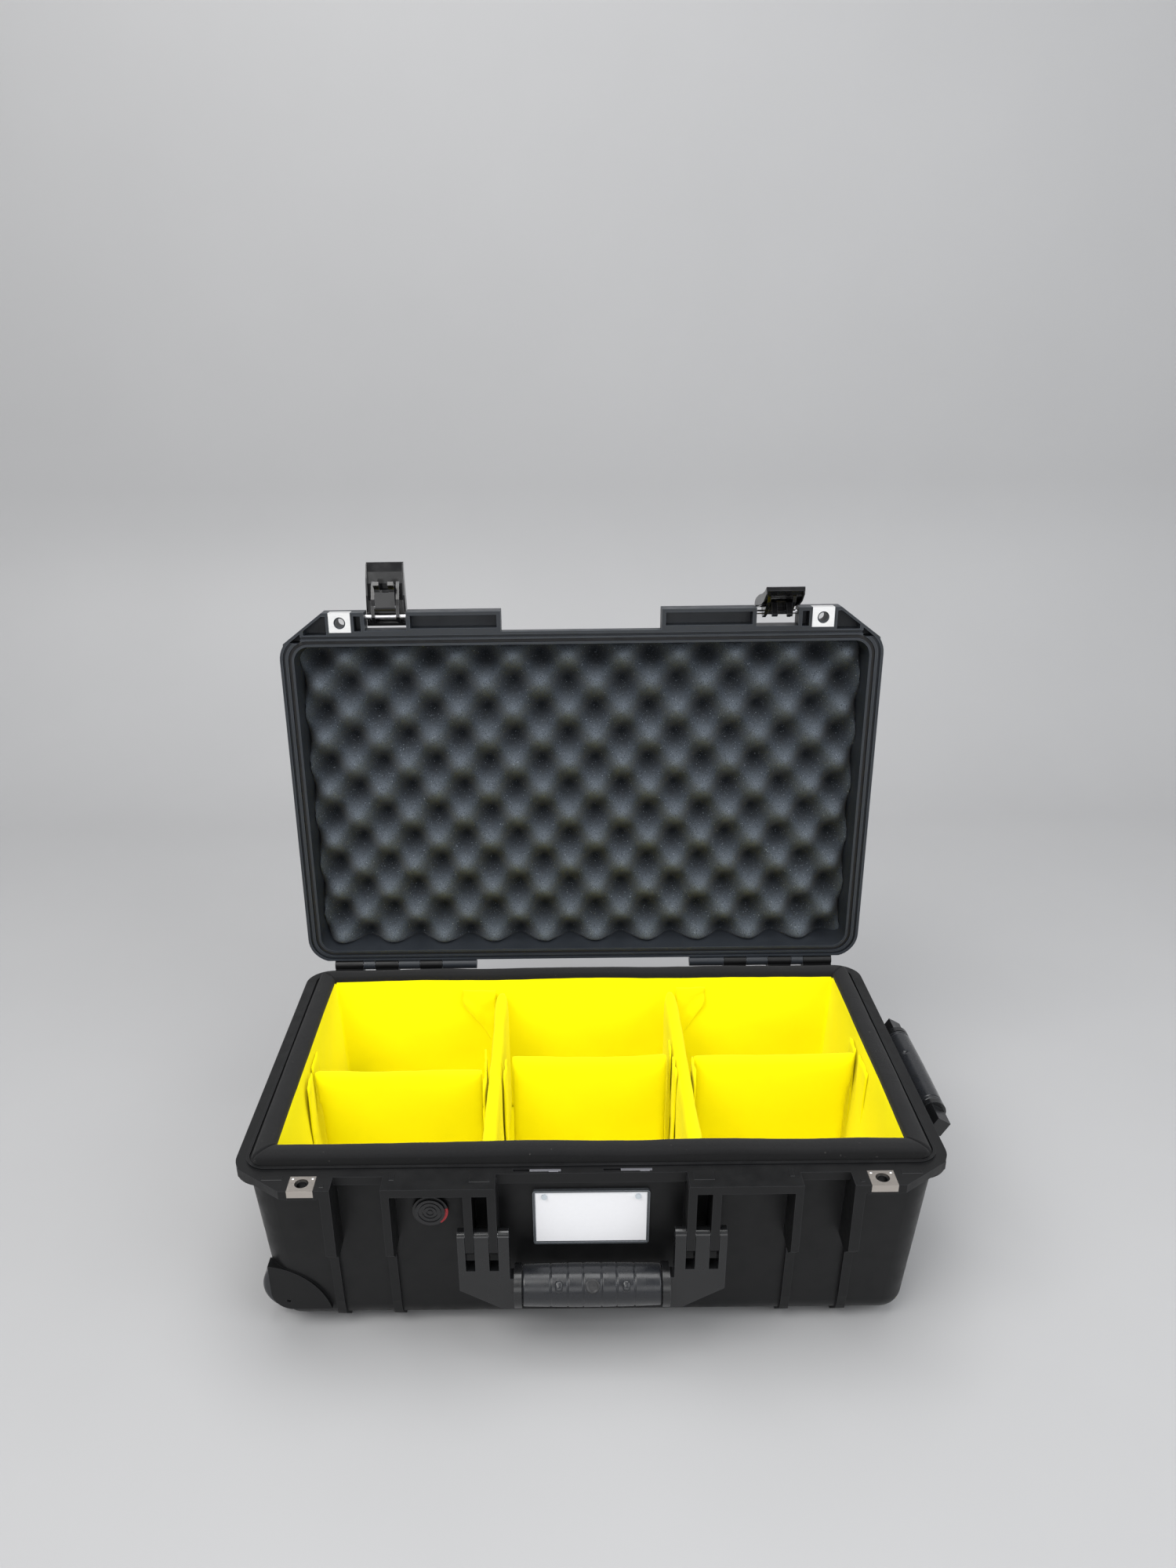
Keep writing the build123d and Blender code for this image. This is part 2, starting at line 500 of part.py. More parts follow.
# ---- padded insert ---------------------------------------------------------------------------------
def keep_clear_of_base(gap):
    """Cut the wheel housings, trolley hump and valve nut out of a piece of the insert."""
    block(HUMP_X0 - gap, 280, -HUMP_Y - gap, HUMP_Y + gap, 0, HUMP_Z + gap, mode=Mode.SUBTRACT)
    recess_x, recess_top = GRIP_RECESS_X - WALL - gap, GRIP_RECESS_Z + WALL + gap
    block(recess_x, 280, -HUMP_Y - gap, HUMP_Y + gap, 0, recess_top, mode=Mode.SUBTRACT)
    for side in (-1, 1):
        y0, y1 = sorted((side * (WELL_Y0 - WALL - gap), side * 160))
        top = WHEEL_Z + WELL_R + 3.5 + gap
        block(-280, WHEEL_X + WELL_R + 3.5 + gap, y0, y1, 0, top, mode=Mode.SUBTRACT)
    rod_y(VALVE_X, -160, VALVE_WALL_Y + WALL + 4.5, VALVE_Z, 14.0, mode=Mode.SUBTRACT)


def divider(x0, x1, y0, y1, low_x0, low_x1, low_y0, low_y1):
    """A padded board, narrower at the floor where the case tapers."""
    with BuildSketch(Plane.XY.offset(PAD_FLOOR_Z + 0.4)) as low:
        with Locations(((low_x0 + low_x1) / 2, (low_y0 + low_y1) / 2)):
            RectangleRounded(low_x1 - low_x0, low_y1 - low_y0, 4.0)
    with BuildSketch(Plane.XY.offset(DIVIDER_TOP_Z)) as high:
        with Locations(((x0 + x1) / 2, (y0 + y1) / 2)):
            RectangleRounded(x1 - x0, y1 - y0, 4.0)
    loft(sections=[low.sketch.face(), high.sketch.face()])


with BuildPart() as insert_surround:
    low_z = PAD_FLOOR_Z + 0.3
    tub(low_z, inner_size(low_z, PAD_GAP, PAD_GAP), RIM_Z, inner_size(RIM_Z, PAD_GAP, PAD_GAP), WALL_R - WALL)
    tub(RIM_Z, inner_size(RIM_Z, PAD_GAP, PAD_GAP), PAD_TOP_Z, inner_size(RIM_Z, PAD_GAP, PAD_GAP), WALL_R - WALL)
    inside_x, inside_y = PAD_X + PAD_GAP, PAD_Y + PAD_GAP
    tub(low_z, inner_size(low_z, inside_x, inside_y), RIM_Z, inner_size(RIM_Z, inside_x, inside_y), 8, Mode.SUBTRACT)
    top_in = inner_size(RIM_Z, inside_x, inside_y)
    tub(RIM_Z, top_in, PAD_TOP_Z, top_in, 8, mode=Mode.SUBTRACT)
    keep_clear_of_base(PAD_GAP)

with BuildPart() as insert_floor:
    low_z = BOTTOM_Z + WALL + 8.0
    tub(low_z, inner_size(low_z, 2.0, 2.0), PAD_FLOOR_Z, inner_size(PAD_FLOOR_Z, PAD_GAP, PAD_GAP), WALL_R - WALL)
    tub(BOTTOM_Z + WALL + 1, inner_size(BOTTOM_Z + WALL, 9.0, 9.0), low_z, inner_size(low_z, 9.0, 9.0), 8)
    keep_clear_of_base(PAD_GAP)

CROSS_LEFT, CROSS_RIGHT = -80.0, 84.0
CROSS_T = 13.0
LONG_LEFT_Y, LONG_Y = -10.0, 9.0
top_half = [v / 2 - 0.5 for v in inner_size(DIVIDER_TOP_Z, inside_x, inside_y)]
low_half = [v / 2 - 0.5 for v in inner_size(PAD_FLOOR_Z, inside_x, inside_y)]
with BuildPart() as divider_cross_left:
    x0, x1 = CROSS_LEFT - CROSS_T / 2, CROSS_LEFT + CROSS_T / 2
    divider(x0, x1, -top_half[1], top_half[1], x0, x1, -low_half[1], low_half[1])

with BuildPart() as divider_cross_right:
    x0, x1 = CROSS_RIGHT - CROSS_T / 2, CROSS_RIGHT + CROSS_T / 2
    divider(x0, x1, -top_half[1], top_half[1], x0, x1, -low_half[1], low_half[1])

with BuildPart() as divider_long_left:
    y0, y1 = LONG_LEFT_Y - DIVIDER_T / 2, LONG_LEFT_Y + DIVIDER_T / 2
    end = CROSS_LEFT - CROSS_T / 2 - 0.6
    divider(-top_half[0], end, y0, y1, -low_half[0], end, y0, y1)

with BuildPart() as divider_long_middle:
    y0, y1 = LONG_Y - DIVIDER_T / 2, LONG_Y + DIVIDER_T / 2
    x0, x1 = CROSS_LEFT + CROSS_T / 2 + 0.6, CROSS_RIGHT - CROSS_T / 2 - 0.6
    divider(x0, x1, y0, y1, x0, x1, y0, y1)

with BuildPart() as divider_long_right:
    y0, y1 = LONG_Y - DIVIDER_T / 2, LONG_Y + DIVIDER_T / 2
    start = CROSS_RIGHT + CROSS_T / 2 + 0.6
    divider(start, top_half[0], y0, y1, start, low_half[0], y0, y1)

# ---- lid, modelled shut ----------------------------------------------------------------------------
LID_FLANGE_TOP = LID_RIM_Z + 9.6
SHOULDER_TOP = LID_RIM_Z + 18.0
LID_INSIDE_Z = 222.0
lid_rim_out = (OPENING_X + 2 * WALL, OPENING_Y + 2 * WALL)
lid_top_out = (lid_rim_out[0] - 12, lid_rim_out[1] - 12)
with BuildPart() as lid_shell:
    tub(LID_RIM_Z + 2, lid_rim_out, LID_TOP_Z, lid_top_out, WALL_R)
    fillet(lid_shell.edges().group_by(Axis.Z)[-1], 15.0)
    tub(LID_RIM_Z, (FLANGE_X, FLANGE_Y), LID_FLANGE_TOP, (FLANGE_X, FLANGE_Y), FLANGE_R)
    # the back edge of the flange stops short of the hinge barrels
    block(-280, 280, 161.2, 170, LID_RIM_Z - 1, LID_FLANGE_TOP + 1, mode=Mode.SUBTRACT)
    for side in (-1, 1):
        plan(shoulder_outline(side, FRONT_Y), LID_RIM_Z, SHOULDER_TOP)
    tub(LID_RIM_Z - 1, (OPENING_X, OPENING_Y), LID_INSIDE_Z, (OPENING_X - 10, OPENING_Y - 10), 14, mode=Mode.SUBTRACT)
    for side in (-1, 1):
        # latch bay, and the hollow pockets of the shoulder seen from the rim side
        x0, x1 = sorted((side * BAY_X0, side * BAY_X1))
        block(x0, x1, -190, BAY_Y, LID_RIM_Z - 1, SHOULDER_TOP + 1, mode=Mode.SUBTRACT)
        pocket_top = SHOULDER_TOP - 3.0
        x0, x1 = sorted((side * (SHOULDER_X0 + 3.5), side * (BAY_X0 - 3.5)))
        block(x0, x1, FRONT_Y + 3, -165.5, LID_RIM_Z - 1, pocket_top, mode=Mode.SUBTRACT)
        x0, x1 = sorted((side * (BAY_X1 + 3.2), side * 203.5))
        block(x0, x1, FRONT_Y + 3, -163.5, LID_RIM_Z - 1, pocket_top, mode=Mode.SUBTRACT)
        chamfer_pocket = [
            (side * 228.5, FRONT_Y + 3), (side * 232.5, FRONT_Y + 3), (side * 249.5, FRONT_Y + 15.5),
            (side * 249.5, -160.5), (side * 228.5, -160.5),
        ]
        plan(chamfer_pocket, LID_RIM_Z - 1, pocket_top, mode=Mode.SUBTRACT)
        corner_pocket = [
            (side * 252.5, FRONT_Y + 18), (side * 263.5, FRONT_Y + 26.5), (side * 252.5, FRONT_Y + 26.5),
        ]
        plan(corner_pocket, LID_RIM_Z - 1, pocket_top, mode=Mode.SUBTRACT)
        # notch that takes the padlock eye
        x0, x1 = sorted((side * 206.0, side * 226.0))
        block(x0, x1, FRONT_Y - 1, -162.5, LID_RIM_Z - 1, SHOULDER_TOP + 1, mode=Mode.SUBTRACT)
        # ears that hold the lever pin
        x0, x1 = sorted((side * (BAY_X0 - 2.5), side * (BAY_X1 + 2.5)))
        rod_x(x0, x1, LATCH_Y, LATCH_Z, 2.0, mode=Mode.SUBTRACT)
        # hinge knuckles of the lid
        for near, far in ((106.5, 140.3), (163.6, 184.2), (208.3, 219.4)):
            x0, x1 = sorted((side * near, side * far))
            block(x0, x1, 157, HINGE_Y + 1, HINGE_Z + 0.5, LID_FLANGE_TOP)
            rod_x(x0, x1, HINGE_Y, HINGE_Z, KNUCKLE_R)
        x0, x1 = sorted((side * 106.0, side * 249.0))
        rod_x(x0, x1, HINGE_Y, HINGE_Z, HINGE_PIN_R + RUNNING, mode=Mode.SUBTRACT)
    # outer groove and seal groove round the rim
    ring((540.0, 319.0), (535.0, 314.0), 21.5, LID_RIM_Z - 1, LID_RIM_Z + 3, mode=Mode.SUBTRACT)
    ring((530.0, 311.0), (523.6, 304.6), 18.5, LID_RIM_Z - 1, LID_RIM_Z + 5, mode=Mode.SUBTRACT)

with BuildPart() as lid_oring:
    ring((529.8, 310.8), (523.8, 304.8), 18.4, LID_RIM_Z + 2.4, LID_RIM_Z + 4.9)

FOAM_FACE = LID_RIM_Z + 9.0
with BuildPart() as lid_foam:
    tub(FOAM_FACE, (OPENING_X - 4.4, OPENING_Y - 4.4), LID_INSIDE_Z - 0.3, (OPENING_X - 12.4, OPENING_Y - 12.4), 13)

with BuildPart() as lid_padlock_eyes:
    for side in (-1, 1):
        x0, x1 = sorted((side * 206.1, side * 225.9))
        block(x0, x1, FRONT_Y + PLATE_T, -162.6, LID_RIM_Z + PLATE_T, SHOULDER_TOP)
        block(x0, x1, FRONT_Y, FRONT_Y + PLATE_T, LID_RIM_Z + 11, SHOULDER_TOP)
        rod_z(side * PADLOCK_X, PADLOCK_Y, LID_RIM_Z, SHOULDER_TOP + 1, PADLOCK_R, mode=Mode.SUBTRACT)

with BuildPart() as lid_padlock_guards:
    for side in (-1, 1):
        x0, x1 = sorted((side * 206.2, side * 225.8))
        block(x0, x1, FRONT_Y, -162.7, LID_RIM_Z, LID_RIM_Z + PLATE_T)
        block(x0, x1, FRONT_Y, FRONT_Y + PLATE_T, LID_RIM_Z, LID_RIM_Z + 10.8)
        rod_z(side * PADLOCK_X, PADLOCK_Y, LID_RIM_Z - 1, LID_RIM_Z + 3, 5.25, mode=Mode.SUBTRACT)

# ---- latches, modelled shut --------------------------------------------------------------------------
LEVER_TOP_Z, LEVER_TIP_Z = 187.0, 132.0
LEVER_SKIN_Y0, LEVER_SKIN_Y1 = -188.0, -184.5
latches = {}
for name, side in (("left", -1), ("right", 1)):
    middle = side * BAY_X
    with BuildPart() as latch_pin:
        rod_x(middle - 21.0, middle + 21.0, LATCH_Y, LATCH_Z, 2.0)
    with BuildPart() as latch_lever:
        # curved outer skin, cut to a taper towards the tip
        skin = [
            (-181.0, LEVER_TOP_Z), (-185.0, LEVER_TOP_Z - 1.5), (-187.5, LEVER_TOP_Z - 7), (-188.5, 165),
            (-187.5, 150), (-188.0, 140), (-190.5, LEVER_TIP_Z), (-187.0, LEVER_TIP_Z), (-184.8, 140),
            (-184.5, 150), (-185.3, 165), (-184.3, 179), (-182.5, 183.5), (-180.0, 184.5),
        ]
        profile_x(skin, middle - 18.2, middle + 18.2)
        cheek = [
            (-181.0, LEVER_TOP_Z), (-185.0, LEVER_TOP_Z - 1.5), (-187.5, LEVER_TOP_Z - 7), (-188.5, 165),
            (-187.5, 150), (-188.0, 140), (-190.5, LEVER_TIP_Z), (-184.5, LEVER_TIP_Z + 1), (-180.0, 145),
            (-178.5, 160), (-179.0, 172), (-180.0, 183),
        ]
        for edge in (middle - 18.2, middle + 15.8):
            profile_x(cheek, edge, edge + 2.4)
        rib = [
            (-185.0, 181), (-181.0, 183), (-175.0, 183), (-170.2, 178), (-171.5, 168), (-175, 163),
            (-180, 152), (-185.0, 148),
        ]
        for edge in (middle - 12.6, middle + 9.6):
            profile_x(rib, edge, edge + 3.0)
        rod_x(middle - 20, middle + 20, LATCH_Y, LATCH_Z, 2.0 + RUNNING, mode=Mode.SUBTRACT)
        rod_x(middle - 15, middle + 15, HOOK_Y, HOOK_Z, 1.6, mode=Mode.SUBTRACT)
        for flank in (-1, 1):
            wedge = [
                (middle + flank * 18.2, LEVER_TOP_Z + 1), (middle + flank * 16.6, LEVER_TIP_Z - 1),
                (middle + flank * 30, LEVER_TIP_Z - 1), (middle + flank * 30, LEVER_TOP_Z + 1),
            ]
            with BuildSketch(Plane.XZ.offset(170)) as taper:
                with BuildLine():
                    Polyline(*wedge, close=True)
                make_face()
            extrude(to_extrude=taper.sketch.face(), amount=30, dir=(0, -1, 0), mode=Mode.SUBTRACT)
    with BuildPart() as hook_pin:
        rod_x(middle - 12.6, middle + 12.6, HOOK_Y, HOOK_Z, 1.6)
    with BuildPart() as hook:
        rod_x(middle - 9.0, middle + 9.0, HOOK_Y, HOOK_Z, 4.2)
        shank = [
            (-180.0, 169), (-172.0, 171.5), (-169.5, 167), (-166.0, 160.5), (-164.6, 158.5), (-157.5, 158.3),
            (-157.0, 155.0),
            (-168.0, 152.5), (-173.5, 156.0), (-178.0, 163),
        ]
        profile_x(shank, middle - 9.0, middle + 9.0)
        block(middle - 4.0, middle + 4.0, -172, -150, 150, 161, mode=Mode.SUBTRACT)
        rod_x(middle - 10, middle + 10, HOOK_Y, HOOK_Z, 1.6 + RUNNING, mode=Mode.SUBTRACT)
    latches[name] = (latch_pin, latch_lever, hook_pin, hook)

# ---- writing the pieces out --------------------------------------------------------------------------
lid_open = turn_x(HINGE_Y, HINGE_Z, -LID_OPEN)
here = Location((0, 0, 0))
pieces = {
    "base_shell": (base_shell, here),
    "hinge_pins": (hinge_pins, here),
    "base_padlock_eyes": (base_padlock_eyes, here),
    "base_padlock_guards": (base_padlock_guards, here),
    "valve_body": (valve_body, here),
    "valve_ring": (valve_ring, here),
    "valve_nut": (valve_nut, here),
    "card_holder": (card_holder, here),
    "name_card": (name_card, here),
    "card_holder_rivets": (card_holder_rivets, here),
    "front_handle_pins": (front_handle_pins, here),
    "front_handle_frame": (front_handle_frame, here),
    "front_handle_grip": (front_handle_grip, here),
    "side_handle_pins": (side_handle_pins, here),
    "side_handle_frame": (side_handle_frame, side_swing),
    "side_handle_grip": (side_handle_grip, side_swing),
    "wheel_axles": (wheel_axles, here),
    "trolley_outer_tubes": (trolley_outer_tubes, here),
    "trolley_collars": (trolley_collars, here),
    "trolley_screws": (trolley_screws, here),
    "trolley_inner_tubes": (trolley_inner_tubes, here),
    "trolley_grip": (trolley_grip, here),
    "trolley_grip_screws": (trolley_grip_screws, here),
    "trolley_button": (trolley_button, here),
    "insert_surround": (insert_surround, here),
    "insert_floor": (insert_floor, here),
    "divider_cross_left": (divider_cross_left, here),
    "divider_cross_right": (divider_cross_right, here),
    "divider_long_left": (divider_long_left, here),
    "divider_long_middle": (divider_long_middle, here),
    "divider_long_right": (divider_long_right, here),
    "lid_shell": (lid_shell, lid_open),
    "lid_oring": (lid_oring, lid_open),
    "lid_foam": (lid_foam, lid_open),
    "lid_padlock_eyes": (lid_padlock_eyes, lid_open),
    "lid_padlock_guards": (lid_padlock_guards, lid_open),
}
for name, wheel_piece in wheels.items():
    pieces[name] = (wheel_piece, here)
for name, lever_angle in (("left", LEFT_LEVER_REST), ("right", RIGHT_LEVER_REST)):
    latch_pin, latch_lever, hook_pin, hook = latches[name]
    lever_place = lid_open * turn_x(LATCH_Y, LATCH_Z, -lever_angle)
    hook_place = lever_place * turn_x(HOOK_Y, HOOK_Z, -HOOK_REST)
    pieces[name + "_latch_pin"] = (latch_pin, lid_open)
    pieces[name + "_latch_lever"] = (latch_lever, lever_place)
    pieces[name + "_latch_hook_pin"] = (hook_pin, lever_place)
    pieces[name + "_latch_hook"] = (hook, hook_place)

for name, (piece, place) in pieces.items():
    piece.part.label = name
    export_step(piece.part.moved(place), f"parts/{name}.step")
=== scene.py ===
"""Looks of the hard equipment case: moulded plastic, padded insert, egg-crate foam, grips and metal."""

import json
import math

import bmesh
import bpy
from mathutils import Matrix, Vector, noise


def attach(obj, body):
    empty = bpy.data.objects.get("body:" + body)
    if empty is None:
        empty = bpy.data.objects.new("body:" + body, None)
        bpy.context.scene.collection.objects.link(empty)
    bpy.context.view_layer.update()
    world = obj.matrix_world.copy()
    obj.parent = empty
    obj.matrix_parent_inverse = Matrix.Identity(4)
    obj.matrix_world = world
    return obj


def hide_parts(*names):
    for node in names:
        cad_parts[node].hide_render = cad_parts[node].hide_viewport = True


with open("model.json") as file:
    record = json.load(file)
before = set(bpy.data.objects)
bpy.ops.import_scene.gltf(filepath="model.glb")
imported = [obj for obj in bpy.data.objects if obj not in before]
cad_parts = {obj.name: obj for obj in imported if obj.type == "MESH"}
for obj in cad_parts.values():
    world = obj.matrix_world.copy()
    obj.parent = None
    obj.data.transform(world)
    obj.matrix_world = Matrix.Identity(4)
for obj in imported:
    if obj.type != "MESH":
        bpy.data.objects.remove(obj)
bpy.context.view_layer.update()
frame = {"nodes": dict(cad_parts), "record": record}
MM = 0.001

# Driving sizes, in millimetres, as the CAD part has them.
RIM_Z = 168.0
HINGE_Y, HINGE_Z = 167.0, 172.0
LID_OPEN = 92.8
TAPER_X, TAPER_Y = 0.0565, 0.0690
PAD_HALF_X, PAD_HALF_Y = 259.0, 149.5
PAD_X, PAD_Y = 16.0, 18.0
PAD_LOW_Z, PAD_TOP_Z = 30.5, 177.0
FOAM_FACE_Z, FOAM_BACK_Z = 177.4, 221.5
FOAM_HALF_X, FOAM_HALF_Y = 257.4, 147.8
VALVE_X, VALVE_Z = -124.0, 128.0
CRATE_PITCH = 50.8
FLOOR_LOW_Z, FLOOR_TOP_Z = 20.4, 29.1
# points of the plan outline of the padded wall: round a corner, along X and along Y
PATH_CORNER, PATH_X, PATH_Y = 10, 70, 44


# ---- materials ---------------------------------------------------------------------------------
class Shader:
    """A Principled material with the few nodes that most finishes here share."""

    def __init__(self, name, color, roughness, metallic=0.0):
        self.material = bpy.data.materials.new(name)
        self.material.use_nodes = True
        self.tree = self.material.node_tree
        self.bsdf = self.tree.nodes["Principled BSDF"]
        self.color = color
        self.bsdf.inputs["Base Color"].default_value = (*color, 1)
        self.bsdf.inputs["Roughness"].default_value = roughness
        self.bsdf.inputs["Metallic"].default_value = metallic
        self.coords = self.tree.nodes.new("ShaderNodeTexCoord")
        self.normal = None

    def node(self, kind, **values):
        made = self.tree.nodes.new(kind)
        for key, value in values.items():
            setattr(made, key, value)
        return made

    def link(self, source, target):
        self.tree.links.new(source, target)

    def noise(self, scale, detail=3.0, rough=0.55, stretch=(1, 1, 1)):
        """Noise in object space; scale is features per metre."""
        mapping = self.node("ShaderNodeMapping")
        mapping.inputs["Scale"].default_value = stretch
        self.link(self.coords.outputs["Object"], mapping.inputs["Vector"])
        made = self.node("ShaderNodeTexNoise")
        made.inputs["Scale"].default_value = scale
        made.inputs["Detail"].default_value = detail
        made.inputs["Roughness"].default_value = rough
        self.link(mapping.outputs["Vector"], made.inputs["Vector"])
        return made.outputs["Fac"]

    def ramp(self, source, stops):
        made = self.node("ShaderNodeValToRGB")
        points = made.color_ramp.elements
        while len(points) < len(stops):
            points.new(0.5)
        for point, (place, color) in zip(points, stops):
            point.position = place
            point.color = (*color, 1)
        self.link(source, made.inputs["Fac"])
        return made.outputs["Color"]

    def range(self, source, low, high, start=0.0, end=1.0):
        made = self.node("ShaderNodeMapRange")
        made.inputs["From Min"].default_value = start
        made.inputs["From Max"].default_value = end
        made.inputs["To Min"].default_value = low
        made.inputs["To Max"].default_value = high
        self.link(source, made.inputs["Value"])
        return made.outputs["Result"]

    def mix(self, factor, first, second):
        made = self.node("ShaderNodeMix", data_type="RGBA")
        self.link(factor, made.inputs["Factor"])
        for socket, value in ((made.inputs[6], first), (made.inputs[7], second)):
            if isinstance(value, tuple):
                socket.default_value = (*value, 1)
            else:
                self.link(value, socket)
        return made.outputs[2]

    def paint(self, source):
        self.link(source, self.bsdf.inputs["Base Color"])

    def rough(self, source):
        self.link(source, self.bsdf.inputs["Roughness"])

    def bump(self, height, strength, distance):
        made = self.node("ShaderNodeBump")
        made.inputs["Strength"].default_value = strength
        made.inputs["Distance"].default_value = distance
        self.link(height, made.inputs["Height"])
        if self.normal is not None:
            self.link(self.normal, made.inputs["Normal"])
        self.normal = made.outputs["Normal"]
        self.link(self.normal, self.bsdf.inputs["Normal"])

    def constant(self, **values):
        for key, value in values.items():
            self.bsdf.inputs[key.replace("_", " ")].default_value = value
        return self


def times(color, factor):
    return tuple(min(1.0, c * factor) for c in color)


def painted_edge_highlight(shader, base, bright, width=0.7):
    """Painted highlight: lighter colour where the surface turns over an edge, within width millimetres of it.
    """
    rounded = shader.node("ShaderNodeBevel", samples=4)
    rounded.inputs["Radius"].default_value = width * MM
    geometry = shader.node("ShaderNodeNewGeometry")
    turn = shader.node("ShaderNodeVectorMath", operation="DOT_PRODUCT")
    shader.link(rounded.outputs["Normal"], turn.inputs[0])
    shader.link(geometry.outputs["Normal"], turn.inputs[1])
    edge = shader.range(turn.outputs["Value"], 1.0, 0.0, 0.8, 0.985)
    return shader.mix(edge, base, bright)


def plastic(name, color, roughness=0.45, grain=0.25, edge=3.0, mottle=0.25, shine=0.5):
    """Moulded plastic: fine spark-eroded grain, faint cloudy handling marks and painted highlights on the
    edges.
    """
    s = Shader(name, color, roughness)
    cloud = s.noise(22, 4)
    base = s.mix(cloud, times(color, 1 - mottle), times(color, 1 + mottle))
    # painted highlight: the edges are painted edge times lighter than the plastic
    s.paint(painted_edge_highlight(s, base, times(color, edge)))
    s.rough(s.range(s.noise(60, 5), roughness - 0.08, roughness + 0.1, 0.3, 0.7))
    s.bump(s.noise(1900, 2), grain, 0.00012)
    s.constant(Specular_IOR_Level=shine)
    return s.material


def rubber(name, color, roughness=0.6, sheen=0.25):
    s = Shader(name, color, roughness)
    cloud = s.noise(35, 4)
    s.paint(s.mix(cloud, times(color, 0.8), times(color, 1.25)))
    s.rough(s.range(s.noise(90, 4), roughness - 0.1, roughness + 0.06, 0.3, 0.7))
    s.bump(s.noise(2600, 2), 0.35, 0.0001)
    s.constant(Sheen_Weight=sheen, Sheen_Roughness=0.45)
    return s.material


def metal(name, color, roughness, stretch=(1, 30, 30), edge=1.25):
    """Metal with a directional brushed grain."""
    s = Shader(name, color, roughness, 1.0)
    brush = s.noise(90, 4, 0.6, stretch)
    s.paint(s.mix(brush, times(color, 0.82), times(color, edge)))
    s.rough(s.range(brush, roughness - 0.07, roughness + 0.12, 0.3, 0.7))
    s.bump(brush, 0.08, 0.00005)
    return s.material


def fleece(name, color):
    """Short black pile over foam, with a few pale specks of lint."""
    s = Shader(name, color, 0.95)
    pile = s.noise(1500, 4, 0.7)
    base = s.mix(pile, times(color, 0.45), times(color, 1.7))
    patches = s.mix(s.noise(45, 3), times(color, 0.7), base)
    lint = s.range(s.noise(420, 0), 0.0, 0.6, 0.84, 0.9)
    s.paint(s.mix(lint, s.mix(s.range(s.noise(30, 2), 0.35, 1.0), patches, base), (0.10, 0.095, 0.09)))
    s.bump(pile, 0.55, 0.0006)
    s.bump(s.noise(260, 3), 0.25, 0.0008)
    s.constant(Sheen_Weight=0.07, Sheen_Roughness=0.6, Specular_IOR_Level=0.2)
    return s.material


def lining(name, color):
    """Smooth brushed-loop nylon: saturated yellow with a very fine nap."""
    s = Shader(name, color, 0.85)
    nap = s.noise(1300, 3, 0.65)
    shade = s.mix(s.noise(16, 3), times(color, 0.93), color)
    s.paint(s.mix(s.range(nap, 0.0, 0.3), shade, (color[0], color[1] * 0.9, color[2])))
    s.bump(nap, 0.3, 0.0003)
    s.bump(s.noise(70, 3), 0.12, 0.0015)
    s.constant(Sheen_Weight=0.03, Sheen_Roughness=0.5, Specular_IOR_Level=0.15)
    return s.material


def foam(name):
    """Open-cell foam: painted shade in the valleys, painted light on the peaks, painted shade in the pores
    and painted glints on tiny cells that catch the light.
    """
    s = Shader(name, (0.06, 0.07, 0.082), 0.9)
    depth = s.node("ShaderNodeAttribute", attribute_name="rise")
    valley_shade_peak_light = (
        (0.0, (0.010, 0.013, 0.017)), (0.35, (0.019, 0.024, 0.031)),
        (0.65, (0.046, 0.056, 0.069)), (1.0, (0.098, 0.115, 0.137)),
    )
    # painted shade in the valleys and painted light on the peaks, read from the rise of the surface
    base = s.ramp(depth.outputs["Fac"], valley_shade_peak_light)
    cells = s.noise(950, 3, 0.7)
    # painted glints: pale specks where tiny cells catch the light
    painted_glint = s.range(s.noise(700, 1), 0.0, 0.7, 0.66, 0.8)
    # painted shade in the pores of the open cells
    pore_shade = s.range(cells, 0.75, 0.0, 0.36, 0.5)
    s.paint(s.mix(painted_glint, s.mix(pore_shade, base, (0.008, 0.010, 0.013)), (0.26, 0.29, 0.33)))
    s.bump(cells, 0.7, 0.0009)
    s.constant(Sheen_Weight=0.08, Sheen_Roughness=0.6, Specular_IOR_Level=0.2)
    return s.material


def ring_label(name, color, dark, middle, spread):
    """The valve ring: its label is a red arc on the lower right, the rest of the ring is black."""
    s = Shader(name, color, 0.35)
    split = s.node("ShaderNodeSeparateXYZ")
    s.link(s.coords.outputs["Object"], split.inputs[0])
    offsets = []
    for axis, centre in (("X", VALVE_X), ("Z", VALVE_Z)):
        shift = s.node("ShaderNodeMath", operation="SUBTRACT")
        s.link(split.outputs[axis], shift.inputs[0])
        shift.inputs[1].default_value = centre * MM
        offsets.append(shift.outputs[0])
    angle = s.node("ShaderNodeMath", operation="ARCTAN2")
    s.link(offsets[1], angle.inputs[0])
    s.link(offsets[0], angle.inputs[1])
    away = s.node("ShaderNodeMath", operation="SUBTRACT")
    s.link(angle.outputs[0], away.inputs[0])
    away.inputs[1].default_value = math.radians(middle)
    size = s.node("ShaderNodeMath", operation="ABSOLUTE")
    s.link(away.outputs[0], size.inputs[0])
    inside = s.range(size.outputs[0], 1.0, 0.0, math.radians(spread - 3), math.radians(spread))
    s.paint(s.mix(inside, dark, s.mix(s.noise(200, 3), times(color, 0.8), times(color, 1.2))))
    s.bump(s.noise(900, 2), 0.1, 0.0001)
    return s.material


def paper(name, color):
    s = Shader(name, color, 0.5)
    s.paint(s.mix(s.noise(300, 3), times(color, 0.96), color))
    s.bump(s.noise(1600, 2), 0.08, 0.00005)
    return s.material
